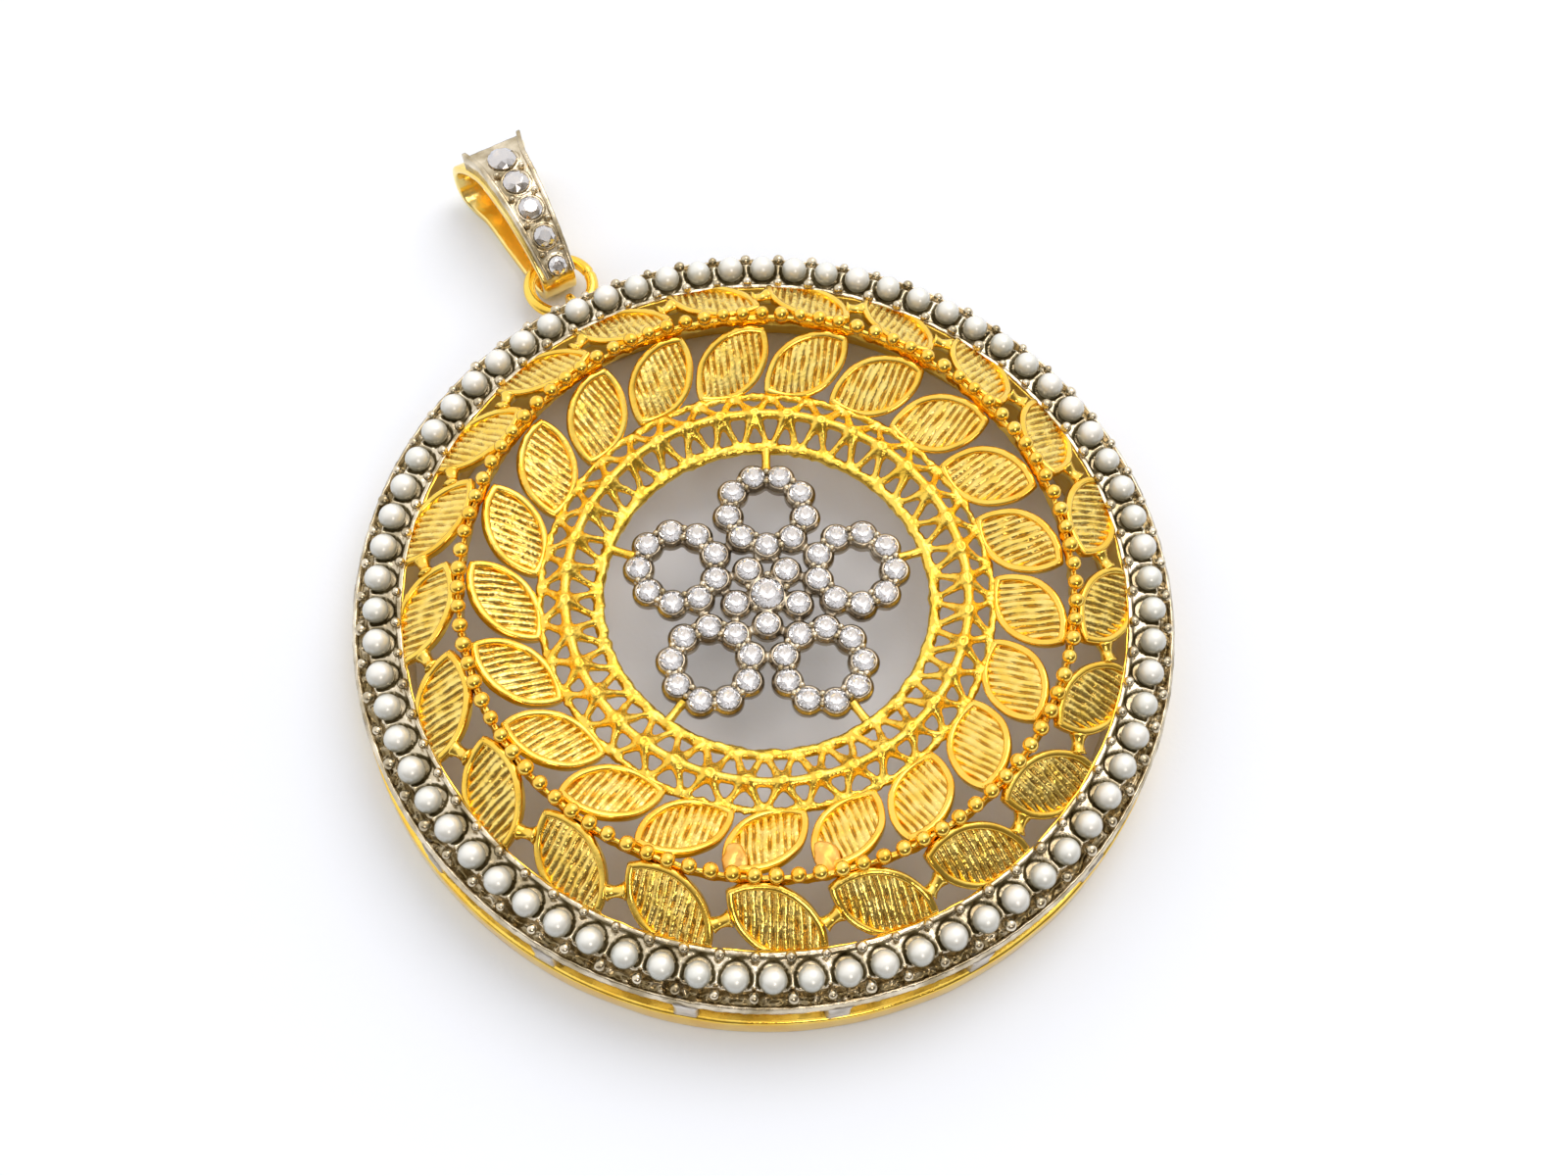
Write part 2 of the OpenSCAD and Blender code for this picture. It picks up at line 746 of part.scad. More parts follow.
// A pair of grains between neighbouring stones
module bail_grains() {
    color("gainsboro") for (k = [0 : bail_stone_count - 2], side = [-1, 1]) {
        angle = (face_stone_angle(k) + face_stone_angle(k + 1)) / 2;
        width = (face_stone_d(k) + face_stone_d(k + 1)) / 4;
        on_face(angle, side * width) grain(face_grain_d, girdle_lift + girdle_t);
    }
}

module bail_stones() {
    color("azure") for (k = [0 : bail_stone_count - 1]) {
        on_face(face_stone_angle(k)) stone(face_stone_d(k));
    }
}

rim_base_ring();
rim_outer_band();
gallery_posts();
rim_inner_wall();
pearl_channel();
seed_pearls();
pearl_grains();
outer_leaf_frames();
outer_leaf_blades();
outer_leaf_pins();
bead_rail();
bead_row();
inner_leaf_frames();
inner_leaf_blades();
lattice_outer_wire();
lattice_outer_zigzag();
lattice_middle_wire();
lattice_inner_zigzag();
lattice_inner_wire();
motif_struts();
motif_plate();
motif_claws();
motif_stones();
hanging_eye();
jump_ring();
bail_loop();
bail_face();
bail_grains();
bail_stones();
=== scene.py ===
import math

import bmesh
import bpy
from mathutils import Matrix, Vector, noise


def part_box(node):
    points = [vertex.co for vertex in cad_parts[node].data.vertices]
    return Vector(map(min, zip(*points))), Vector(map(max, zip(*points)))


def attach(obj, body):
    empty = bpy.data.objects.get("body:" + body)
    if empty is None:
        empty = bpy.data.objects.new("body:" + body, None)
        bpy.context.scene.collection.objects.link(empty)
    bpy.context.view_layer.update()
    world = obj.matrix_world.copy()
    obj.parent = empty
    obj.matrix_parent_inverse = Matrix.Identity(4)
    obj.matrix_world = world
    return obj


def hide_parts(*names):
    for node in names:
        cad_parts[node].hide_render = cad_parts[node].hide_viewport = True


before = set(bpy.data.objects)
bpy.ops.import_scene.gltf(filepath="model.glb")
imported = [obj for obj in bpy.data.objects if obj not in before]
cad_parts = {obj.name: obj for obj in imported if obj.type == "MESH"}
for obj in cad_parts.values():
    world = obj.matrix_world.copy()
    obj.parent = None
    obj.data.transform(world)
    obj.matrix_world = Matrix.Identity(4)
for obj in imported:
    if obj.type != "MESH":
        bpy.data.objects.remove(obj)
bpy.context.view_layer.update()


# Back ring and outer band of the rim.
# A flat ring that the pendant lies on, and a plain band soldered on top of it. Both are gold-plated
# sheet, filed by hand, so their edges are soft and their faces are a little uneven.
def box_mm(node):
    """Lowest and highest corner of a CAD node, in millimetres."""
    low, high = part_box(node)
    return low * 1000, high * 1000


def add(tree, kind, inputs=None, **settings):
    """A new node with its settings. An input is a value, or the output of another node to link."""
    node = tree.nodes.new(kind)
    for name, value in settings.items():
        setattr(node, name, value)
    for key, value in (inputs or {}).items():
        if isinstance(value, bpy.types.NodeSocket):
            tree.links.new(value, node.inputs[key])
        else:
            node.inputs[key].default_value = value
    return node


def linear(colour):
    """Linear colour of an sRGB hex value."""
    parts = [int(colour[i:i + 2], 16) / 255 for i in (1, 3, 5)]
    return [c / 12.92 if c <= 0.04045 else ((c + 0.055) / 1.055) ** 2.4 for c in parts] + [1.0]


def new_material(name):
    """A new material with an empty node tree, and that tree."""
    material = bpy.data.materials.new(name)
    material.use_nodes = True
    tree = material.node_tree
    tree.nodes.clear()
    return material, tree


def plated_metal(name, light, deep, roughness, grain, depth, groove_and_shade=None):
    """Plating over a casting: two tones in soft clouds, a skin of bumps of the grain's size in mm, and a
    painted shade of another colour in the grooves, as strong as the mesh's groove_and_shade attribute says."""
    material, tree = new_material(name)
    place = add(tree, "ShaderNodeTexCoord").outputs["Object"]
    cloud = add(tree, "ShaderNodeTexNoise", {"Vector": place, "Scale": 1000 / (6 * grain), "Detail": 3.0})
    tone = add(tree, "ShaderNodeMapRange", {"Value": cloud.outputs["Fac"],
                                            "From Min": 0.35, "From Max": 0.65})
    colour = add(tree, "ShaderNodeMix", {0: tone.outputs["Result"], 6: linear(deep), 7: linear(light)},
                 data_type="RGBA")
    # Painted shade: the grooves and recesses that the attribute marks are darkened towards this colour.
    if groove_and_shade:
        cut = add(tree, "ShaderNodeAttribute", attribute_name="groove_and_shade")
        colour = add(tree, "ShaderNodeMix", {0: cut.outputs["Fac"], 6: colour.outputs[2], 7: linear(groove_and_shade)},
                     data_type="RGBA")
    polish = add(tree, "ShaderNodeMapRange", {"Value": cloud.outputs["Fac"], "From Min": 0.3, "From Max": 0.7,
                                              "To Min": roughness * 1.3, "To Max": roughness * 0.7})
    bumps = add(tree, "ShaderNodeTexNoise", {"Vector": place, "Scale": 1000 / grain, "Detail": 4.0})
    bump = add(tree, "ShaderNodeBump", {"Height": bumps.outputs["Fac"], "Strength": 1.0,
                                        "Distance": depth * 0.001})
    metal = add(tree, "ShaderNodeBsdfPrincipled", {"Base Color": colour.outputs[2], "Metallic": 1.0,
                                                   "Roughness": polish.outputs["Result"],
                                                   "Normal": bump.outputs["Normal"]})
    add(tree, "ShaderNodeOutputMaterial", {"Surface": metal.outputs[0]})
    return material


def rounded(corners, radius, steps=4):
    """A closed outline with each of its corners replaced by a short curve."""
    outline = []
    for before, corner, after in zip(corners[-1:] + corners[:-1], corners, corners[1:] + corners[:1]):
        middle = Vector(corner)
        back = Vector(before) - middle
        ahead = Vector(after) - middle
        cut = min(radius, back.length / 2.1, ahead.length / 2.1)
        start = middle + back.normalized() * cut
        end = middle + ahead.normalized() * cut
        for k in range(steps + 1):
            t = k / steps
            outline.append(start * (1 - t) ** 2 + middle * 2 * t * (1 - t) + end * t ** 2)
    return outline


def skin(rings, closed):
    """Points and faces of a tube through rings of points. An open tube gets a face at each end."""
    size = len(rings[0])
    points = [point for ring in rings for point in ring]
    faces = []
    for i in range(len(rings) if closed else len(rings) - 1):
        here = i * size
        there = (i + 1) % len(rings) * size
        for k in range(size):
            m = (k + 1) % size
            faces.append((here + k, there + k, there + m, here + m))
    if not closed:
        faces.append(tuple(range(size - 1, -1, -1)))
        faces.append(tuple(range(len(points) - size, len(points))))
    return points, faces


def lathe(outline, steps):
    """Points and faces of an outline of (radius, height) turned once round the Z axis."""
    rings = []
    for i in range(steps):
        turn = math.tau * i / steps
        rings.append([Vector((r * math.cos(turn), r * math.sin(turn), z)) for r, z in outline])
    return skin(rings, True)


def uneven(points, size, depth):
    """Points moved a little, as on a hand-worked surface with waves of the size given in mm."""
    return [point + noise.noise_vector(point / size) * depth for point in points]


def in_scene(name, data):
    """A new object of the scene that holds a mesh, a lamp or a camera."""
    item = bpy.data.objects.new(name, data)
    bpy.context.scene.collection.objects.link(item)
    return item


def make(name, points, faces, material):
    """A new smooth mesh object in millimetres, with its faces turned outwards."""
    mesh = bpy.data.meshes.new(name)
    mesh.from_pydata(points, [], faces)
    shape = bmesh.new()
    shape.from_mesh(mesh)
    bmesh.ops.recalc_face_normals(shape, faces=shape.faces)
    shape.to_mesh(mesh)
    shape.free()
    mesh.shade_smooth()
    mesh.materials.append(material)
    return in_scene(name, mesh)


def settle(piece, body, slot, *nodes):
    """Brings a finished piece to metres, onto its body and in place of its CAD nodes."""
    piece.data.transform(Matrix.Scale(0.001, 4))
    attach(piece, body)
    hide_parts(*nodes)


# The seed is fixed, so that the hand-worked surfaces come out the same each time.
surface_seed = 7
noise.seed_set(surface_seed)

base_low, base_high = box_mm("rim_base_ring")
band_low, band_high = box_mm("rim_outer_band")
channel_low, channel_high = box_mm("pearl_channel")
wall_low, wall_high = box_mm("rim_inner_wall")
rim_inner_r = 17.75
rim_outer_r = base_high.x
band_t = 0.9
band_top_r = rim_outer_r - (rim_outer_r - channel_high.x) * band_high.z / channel_low.z
rim_edge_r = 0.2

# Polished gold plate: a warm yellow mirror, softened by fine scratches and deeper in its thicker places.
polished_gold = plated_metal("polished_gold_plate", "#FFDA66", "#F8C84C", 0.13, 0.25, 0.012)

ring_and_band = rounded([(rim_inner_r, 0), (rim_outer_r, 0), (band_top_r, band_high.z),
                         (rim_outer_r - band_t, band_high.z), (rim_outer_r - band_t, base_high.z),
                         (rim_inner_r, base_high.z)], rim_edge_r)
points, faces = lathe(ring_and_band, 360)
settle(make("rim_ring_and_band", uneven(points, 2.5, 0.04), faces, polished_gold),
       "medallion", "gold_polished", "rim_base_ring", "rim_outer_band")


# Gallery posts.
# Short posts of hard solder and wire hold the channel above the band, evenly round the rim. They took
# the white plating of the channel, so they are pale and dull beside the gold.
def new_tree(name, *sockets):
    """A new Geometry Nodes tree with its inputs, each a name and a kind, and what the inputs give."""
    tree = bpy.data.node_groups.new(name, "GeometryNodeTree")
    for socket, kind in sockets:
        tree.interface.new_socket(socket, in_out="INPUT", socket_type="NodeSocket" + kind)
    tree.interface.new_socket("Geometry", in_out="OUTPUT", socket_type="NodeSocketGeometry")
    return tree, add(tree, "NodeGroupInput").outputs


def end_tree(tree, copies, material):
    """Ends a tree: its copies become one mesh and get their material."""
    real = add(tree, "GeometryNodeRealizeInstances", {"Geometry": copies})
    dressed = add(tree, "GeometryNodeSetMaterial", {"Geometry": real.outputs[0], "Material": material})
    add(tree, "NodeGroupOutput", {"Geometry": dressed.outputs[0]})
    return tree


def even_angles(tree, given):
    """Angle of each copy of a tree, in even steps round a circle from the first angle."""
    order = add(tree, "GeometryNodeInputIndex").outputs[0]
    step = add(tree, "ShaderNodeMath", {0: math.tau, 1: given["Count"]}, operation="DIVIDE")
    return add(tree, "ShaderNodeMath", {0: order, 1: step.outputs[0], 2: given["First angle"]},
               operation="MULTIPLY_ADD").outputs[0]


def copies_round_axis():
    """Tree that turns one piece, already in its place, into copies round the Z axis."""
    tree, given = new_tree("copies_round_axis", ("Geometry", "Geometry"), ("Count", "Int"),
                           ("First angle", "Float"), ("Shift", "Float"), ("Seed", "Int"),
                           ("Material", "Material"))
    turn = add(tree, "ShaderNodeCombineXYZ", {"Z": even_angles(tree, given)})
    least = add(tree, "ShaderNodeMath", {0: given["Shift"], 1: -1.0}, operation="MULTIPLY")
    nudge = add(tree, "FunctionNodeRandomValue", {0: least.outputs[0], 1: given["Shift"],
                                                  "Seed": given["Seed"]}, data_type="FLOAT_VECTOR")
    spots = add(tree, "GeometryNodePoints", {"Count": given["Count"], "Position": nudge.outputs[0]})
    euler = add(tree, "FunctionNodeEulerToRotation", {0: turn.outputs[0]})
    copies = add(tree, "GeometryNodeInstanceOnPoints", {"Points": spots.outputs[0],
                                                        "Instance": given["Geometry"],
                                                        "Rotation": euler.outputs[0]})
    return end_tree(tree, copies.outputs[0], given["Material"])


def made_plain(piece):
    """Turns a piece and its modifiers into a plain mesh."""
    plain = bpy.data.meshes.new_from_object(piece.evaluated_get(bpy.context.evaluated_depsgraph_get()))
    piece.modifiers.clear()
    piece.data = plain
    return piece


def grow(piece, tree, sizes):
    """Runs a tree on a piece with its sizes given by name, and leaves a plain mesh."""
    modifier = piece.modifiers.new(tree.name, "NODES")
    modifier.node_group = tree
    for socket in tree.interface.items_tree:
        if socket.in_out == "INPUT" and socket.name in sizes:
            modifier[socket.identifier] = sizes[socket.name]
    return made_plain(piece)


copies_tree = copies_round_axis()
post_count = 18
post_w = 1.1
post_t = 0.5
post_out_r = channel_high.x - 0.04
post_low_z = band_high.z - 0.1
post_high_z = channel_low.z + 0.4
post_flare = 0.2
post_edge_r = 0.2
post_steps = 8

# Dull white solder: grey and grainy, with hardly any mirror.
white_solder = plated_metal("white_solder", "#E4DED6", "#BAB2A6", 0.5, 0.18, 0.03)

rings = []
for k in range(post_steps + 1):
    t = k / post_steps
    half = post_w / 2 * (1 + post_flare * (2 * t - 1) ** 4)
    outline = rounded([(post_out_r - post_t, -half), (post_out_r, -half), (post_out_r, half),
                       (post_out_r - post_t, half)], post_edge_r)
    rings.append([Vector((x, y, post_low_z + (post_high_z - post_low_z) * t)) for x, y in outline])
points, faces = skin(rings, False)
posts = make("gallery_solder_posts", uneven(points, 0.7, 0.07), faces, white_solder)
grow(posts, copies_tree, {"Count": post_count, "First angle": math.radians(90), "Shift": 0.03, "Seed": 3,
                          "Material": white_solder})
settle(posts, "medallion", "white_metal", "gallery_posts")


# Inner wall of the rim.
# A strip of gold sheet bent to a ring. It closes the gallery from the inside, shows between the outer
# leaves and laps a little over the inside of the pearl channel.
wall_t = 0.4
lap_t = 0.1
lap_z = channel_high.z - 0.1
inner_wall = rounded([(rim_inner_r - lap_t, wall_low.z), (rim_inner_r + wall_t, wall_low.z),
                      (rim_inner_r + wall_t, wall_high.z), (rim_inner_r + 0.05, wall_high.z + 0.05),
                      (rim_inner_r + 0.05, lap_z), (rim_inner_r - lap_t, lap_z)], 0.06)
points, faces = lathe(inner_wall, 720)
settle(make("rim_inside_strip", uneven(points, 0.9, 0.05), faces, polished_gold),
       "medallion", "gold_polished", "rim_inner_wall")


# Pearl channel.
# A cast channel, plated in rhodium: a thin lip inside, a cup for each pearl with a web of metal between,
# and outside a low ledge that the setter's tools have left grooved, with a smooth raised edge.
pearl_low, pearl_high = box_mm("seed_pearls")
pearl_count = 70
pearl_first = math.radians(92.1)
pearl_r = (pearl_high.z - pearl_low.z) / 2
pearl_z = (pearl_high.z + pearl_low.z) / 2
pearl_circle_r = pearl_high.x - pearl_r
lip_r = rim_inner_r + 0.22
floor_z = channel_high.z - 0.35
ledge_z = floor_z - 0.55
ledge_out_r = channel_high.x - 0.45
ledge_in_r = ledge_out_r - 0.6
edge_low_z = channel_low.z + 0.25
edge_z = edge_low_z + 0.2
edge_r = channel_high.x - 0.08
edge_w = 0.2
ledge_groove = 0.25
tool_mark = 0.2
tool_mark_size = 0.3
web_z = floor_z + 0.14
cup_r = pearl_r + 0.15
cup_stretch = 0.82
cup_z = pearl_z - 0.25
steps_per_pearl = 18
steps_across = 44

# Rhodium plate, worn: a warm grey metal with bright edges, and a brown, dark painted shade in its cups and
# recesses.
worn_rhodium = plated_metal("worn_rhodium_plate", "#EADDC4", "#A8997A", 0.19, 0.2, 0.02, "#7E6E4C")


def polar(radius, turn, height):
    """A point at a radius, an angle and a height."""
    return Vector((radius * math.cos(turn), radius * math.sin(turn), height))


def ease(value, low, high):
    """Smooth step from 0 to 1 as a value goes from low to high."""
    t = min(max((value - low) / (high - low), 0), 1)
    return t * t * (3 - 2 * t)


def channel_top(radius, turn):
    """Height of the channel's upper face at a radius and an angle."""
    step = math.tau / pearl_count
    off = (turn - pearl_first + step / 2) % step - step / 2
    out = radius * math.cos(off) - pearl_circle_r
    away = math.hypot(out if out > 0 else out * cup_stretch, radius * math.sin(off))
    height = channel_high.z + (web_z - channel_high.z) * ease(radius, lip_r - 0.05, lip_r + 0.1)
    height += (ledge_z - web_z) * ease(radius, ledge_in_r, ledge_in_r + 0.3)
    height += (edge_z - ledge_z) * ease(radius, edge_r - 0.16, edge_r)
    tooled = ease(radius, ledge_in_r, ledge_out_r - 0.2) * (1 - ease(radius, edge_r - 0.32, edge_r - edge_w))
    height += tooled * (tool_mark * noise.noise(polar(radius, turn, 0) / tool_mark_size) - ledge_groove)
    return min(height, cup_z + ease(away, cup_r - 0.08, cup_r + 0.07))


def recess(radius, height):
    """How far, from 0 to 1, a point of the channel lies below the metal round it: the share of painted shade
    there.
    """
    if radius < lip_r or radius > edge_r - edge_w:
        return 0.0
    top = web_z if radius < ledge_in_r else ledge_z
    return ease(top - height, 0.03, 0.3)


rings = []
recess_shades = []
for i in range(steps_per_pearl * pearl_count):
    turn = math.tau * i / (steps_per_pearl * pearl_count)
    ring = [polar(rim_inner_r, turn, edge_low_z), polar(edge_r, turn, edge_low_z)]
    recess_shades += [0.0, 0.0]
    for k in range(steps_across + 1):
        radius = edge_r + (rim_inner_r - edge_r) * k / steps_across
        height = channel_top(radius, turn)
        ring.append(polar(radius, turn, height))
        recess_shades.append(recess(radius, height))
    rings.append(ring)
points, faces = skin(rings, True)
channel = make("pearl_setting_channel", uneven(points, 0.35, 0.03), faces, worn_rhodium)
# Painted shade: the cups and the tooled ledge darken with their depth below the metal round them.
channel.data.attributes.new("groove_and_shade", "FLOAT", "POINT").data.foreach_set("value", recess_shades)
settle(channel, "medallion", "white_metal", "pearl_channel")


# Seed pearls.
# Small undrilled pearls, nearly round and nearly alike, glued and pinched into the cups. Their lustre is a
# soft, wide highlight over a body colour with painted shade, going from white on top to a greenish grey by
# the cup.
def balls_on_circle():
    """Tree that sets copies of one small piece on a circle, each with its own size, turn and tint."""
    tree, given = new_tree("balls_on_circle", ("Geometry", "Geometry"), ("Count", "Int"),
                           ("First angle", "Float"), ("Circle radius", "Float"), ("Height", "Float"),
                           ("Size", "Float"), ("Size spread", "Float"), ("Seed", "Int"),
                           ("Material", "Material"))
    angle = even_angles(tree, given)
    across = add(tree, "ShaderNodeMath", {0: angle}, operation="COSINE")
    along = add(tree, "ShaderNodeMath", {0: angle}, operation="SINE")
    x = add(tree, "ShaderNodeMath", {0: across.outputs[0], 1: given["Circle radius"]}, operation="MULTIPLY")
    y = add(tree, "ShaderNodeMath", {0: along.outputs[0], 1: given["Circle radius"]}, operation="MULTIPLY")
    spot = add(tree, "ShaderNodeCombineXYZ", {"X": x.outputs[0], "Y": y.outputs[0], "Z": given["Height"]})
    spots = add(tree, "GeometryNodePoints", {"Count": given["Count"], "Position": spot.outputs[0]})
    turn = add(tree, "FunctionNodeRandomValue", {1: (math.tau, math.tau, math.tau), "Seed": given["Seed"]},
               data_type="FLOAT_VECTOR")
    euler = add(tree, "FunctionNodeEulerToRotation", {0: turn.outputs[0]})
    chance = add(tree, "FunctionNodeRandomValue", {2: -1.0, 3: 1.0, "Seed": given["Seed"]}, data_type="FLOAT")
    share = add(tree, "ShaderNodeMath", {0: chance.outputs[1], 1: given["Size spread"], 2: 1.0},
                operation="MULTIPLY_ADD")
    size = add(tree, "ShaderNodeMath", {0: share.outputs[0], 1: given["Size"]}, operation="MULTIPLY")
    copies = add(tree, "GeometryNodeInstanceOnPoints", {"Points": spots.outputs[0],
                                                        "Instance": given["Geometry"],
                                                        "Rotation": euler.outputs[0],
                                                        "Scale": size.outputs[0]})
    tint = add(tree, "FunctionNodeRandomValue", {2: 0.0, 3: 1.0, "Seed": given["Seed"]}, data_type="FLOAT")
    marked = add(tree, "GeometryNodeStoreNamedAttribute", {"Geometry": copies.outputs[0], "Name": "tint",
                                                           "Value": tint.outputs[1]},
                 domain="INSTANCE", data_type="FLOAT")
    return end_tree(tree, marked.outputs[0], given["Material"])


def ball_mesh(subdivisions):
    """Points and faces of a ball of diameter 1."""
    shape = bmesh.new()
    bmesh.ops.create_icosphere(shape, subdivisions=subdivisions, radius=0.5)
    points = [vertex.co.copy() for vertex in shape.verts]
    faces = [tuple(vertex.index for vertex in face.verts) for face in shape.faces]
    shape.free()
    return points, faces


def ball(name, subdivisions, material, roundness):
    """A ball of diameter 1, dented a little, so that turned copies of it all differ."""
    points, faces = ball_mesh(subdivisions)
    return make(name, uneven(points, 0.9, roundness), faces, material)


def pearl_lustre():
    """Pearl: a painted shade gives a soft bright top and a darker greenish grey side by the cup; a thin clear
    gloss lies over it.
    """
    material, tree = new_material("seed_pearl_lustre")
    tint = add(tree, "ShaderNodeAttribute", attribute_name="tint")
    body = add(tree, "ShaderNodeMix", {0: tint.outputs["Fac"], 6: linear("#EFF1EC"), 7: linear("#F7F6F1")},
               data_type="RGBA")
    # Painted shade: the body colour darkens to greenish grey as the surface turns down towards the cup.
    place = add(tree, "ShaderNodeTexCoord").outputs
    upward = add(tree, "ShaderNodeSeparateXYZ", {0: place["Normal"]})
    shaded = add(tree, "ShaderNodeMapRange", {"Value": upward.outputs["Z"],
                                              "From Min": 1.0, "From Max": -0.05})
    side = add(tree, "ShaderNodeMix", {0: shaded.outputs["Result"], 6: body.outputs[2], 7: linear("#7C7C68")},
               data_type="RGBA")
    skin_waves = add(tree, "ShaderNodeTexNoise", {"Vector": place["Object"], "Scale": 1000 / 0.5,
                                                  "Detail": 2.0})
    bump = add(tree, "ShaderNodeBump", {"Height": skin_waves.outputs["Fac"], "Distance": 0.00002})
    pearl = add(tree, "ShaderNodeBsdfPrincipled", {"Base Color": side.outputs[2], "Metallic": 0.2,
                                                   "Roughness": 0.32, "Coat Weight": 0.9,
                                                   "Coat Roughness": 0.12,
                                                   "Normal": bump.outputs["Normal"]})
    add(tree, "ShaderNodeOutputMaterial", {"Surface": pearl.outputs[0]})
    return material


balls_tree = balls_on_circle()
seed_pearl = pearl_lustre()
pearls = ball("seed_pearl_ring", 4, seed_pearl, 0.03)
grow(pearls, balls_tree, {"Count": pearl_count, "First angle": pearl_first, "Circle radius": pearl_circle_r,
                          "Height": pearl_z, "Size": 2 * pearl_r, "Size spread": 0.04, "Seed": 11,
                          "Material": seed_pearl})
settle(pearls, "medallion", "pearl", "seed_pearls")


# Grains beside the pearls.
# Two beads of the channel's own metal between each pair of pearls, raised with a graver and rounded
# over the pearls to hold them. No two came out the same.
grain_d = 0.52
inner_grain_z = channel_high.z + 0.12
outer_grain_z = ledge_z + 0.5
for name, radius, height, seed in (("inner", lip_r + 0.03, inner_grain_z, 5),
                                   ("outer", ledge_out_r - 0.15, outer_grain_z, 6)):
    row = ball("pearl_grain_" + name, 3, worn_rhodium, 0.09)
    grow(row, balls_tree, {"Count": pearl_count, "First angle": pearl_first + math.pi / pearl_count,
                           "Circle radius": radius, "Height": height, "Size": grain_d, "Size spread": 0.16,
                           "Seed": seed, "Material": worn_rhodium})
    settle(row, "medallion", "white_metal", "pearl_grains")


# Crest rail and its beads.
# A gold wire runs round the crest between the two rows of leaves, with small gold balls soldered on it
# one by one, so the wire shows as a short link between each two.
rail_low, rail_high = box_mm("bead_rail")
bead_count = 94
bead_first = math.radians(0.5)
bead_r = 0.38
bead_z = rail_high.z + bead_r - 0.1
bead_circle_r = 14.8
rail_foot_half = 0.24
rail_top_half = 0.1
rail = rounded([(bead_circle_r - rail_foot_half, rail_low.z), (bead_circle_r + rail_foot_half, rail_low.z),
                (bead_circle_r + rail_top_half, rail_high.z),
                (bead_circle_r - rail_top_half, rail_high.z)], 0.12)
points, faces = lathe(rail, 720)
settle(make("crest_wire", uneven(points, 0.35, 0.06), faces, polished_gold),
       "medallion", "gold_polished", "bead_rail")
beads = ball("crest_beads", 3, polished_gold, 0.03)
grow(beads, balls_tree, {"Count": bead_count, "First angle": bead_first, "Circle radius": bead_circle_r,
                         "Height": bead_z, "Size": 2 * bead_r, "Size spread": 0.06, "Seed": 21,
                         "Material": polished_gold})
settle(beads, "medallion", "gold_polished", "bead_row")


# Outer leaves.
# Each leaf is a bent wire outline with a thin engraved blade sunk inside it, soldered between the crest and
# the channel. The engraver's cuts run outwards, straight but broken, and a painted shade darkens them between
# the ribs.
leaf_count = 21
leaf_turn = math.tau / leaf_count
leaf_wire_w = 0.37
leaf_wire_h = 0.5
leaf_wire_edge_r = 0.16
tip_lump = (0.6, 0.5, 0.42)
tip_lump_in = 0.3
tip_lump_drop = 0.05
blade_sink = 0.2
blade_crown = 0.06
cut_pitch = 0.36
cut_depth = 0.15
solder_gap = 0.03
crest_out_r = bead_circle_r + 0.33

# Engraved gold: the same plate as the wires, paler on its ribs, with a brown painted shade in the cuts.
engraved_gold = plated_metal("engraved_gold_plate", "#FFE384", "#FBD460", 0.16, 0.12, 0.02, "#985C08")


def leaf_place(start, end):
    """Matrix that lays a leaf along X between its two ends, and the leaf's lean from the radius."""
    along = end - start
    slope = Matrix.Rotation(math.atan2(-along.z, along.x), 4, "Y")
    lean = math.atan2(along.y, math.hypot(along.x, along.z))
    return Matrix.Translation((start + end) / 2) @ slope @ Matrix.Rotation(lean, 4, "Z"), lean


def leaf_half_width(length, width, x):
    """Half the width of a pointed leaf of two arcs, at x from its middle."""
    radius = (length ** 2 + width ** 2) / (4 * width)
    return max(math.sqrt(radius ** 2 - x ** 2) - radius + width / 2, 0)


def blob(middle, sizes, turn):
    """Points and faces of a lump with its own size along the radius, along the circle and upwards."""
    points, faces = ball_mesh(2)
    face_out = Matrix.Rotation(turn, 3, "Z")
    return [middle + face_out @ Vector([p * s for p, s in zip(point, sizes)]) for point in points], faces


def merged(parts):
    """One list of points and faces from several."""
    points = []
    faces = []
    for more_points, more_faces in parts:
        start = len(points)
        points.extend(more_points)
        faces.extend(tuple(start + i for i in face) for face in more_faces)
    return points, faces


def leaf_wire(length, width, steps=36):
    """Points and faces of the wire round a leaf, with a round top and a lump of solder at each end."""
    path = []
    for side in (-1, 1):
        for k in range(steps):
            x = side * length / 2 * math.cos(math.pi * k / steps)
            path.append(Vector((x, side * leaf_half_width(length, width, x), 0)))
    half_w = leaf_wire_w / 2
    half_h = leaf_wire_h / 2
    outline = rounded([(-half_w, -half_h), (half_w, -half_h), (half_w, half_h), (-half_w, half_h)],
                      leaf_wire_edge_r)
    rings = []
    for i, spot in enumerate(path):
        ahead = (path[(i + 1) % len(path)] - path[i - 1]).normalized()
        out = Vector((ahead.y, -ahead.x, 0))
        rings.append([spot + out * (w - half_w) + Vector((0, 0, h)) for w, h in outline])
    lumps = [blob(Vector((side * (length / 2 - tip_lump_in), 0, -tip_lump_drop)), tip_lump, 0)
             for side in (-1, 1)]
    return merged([skin(rings, True)] + lumps)


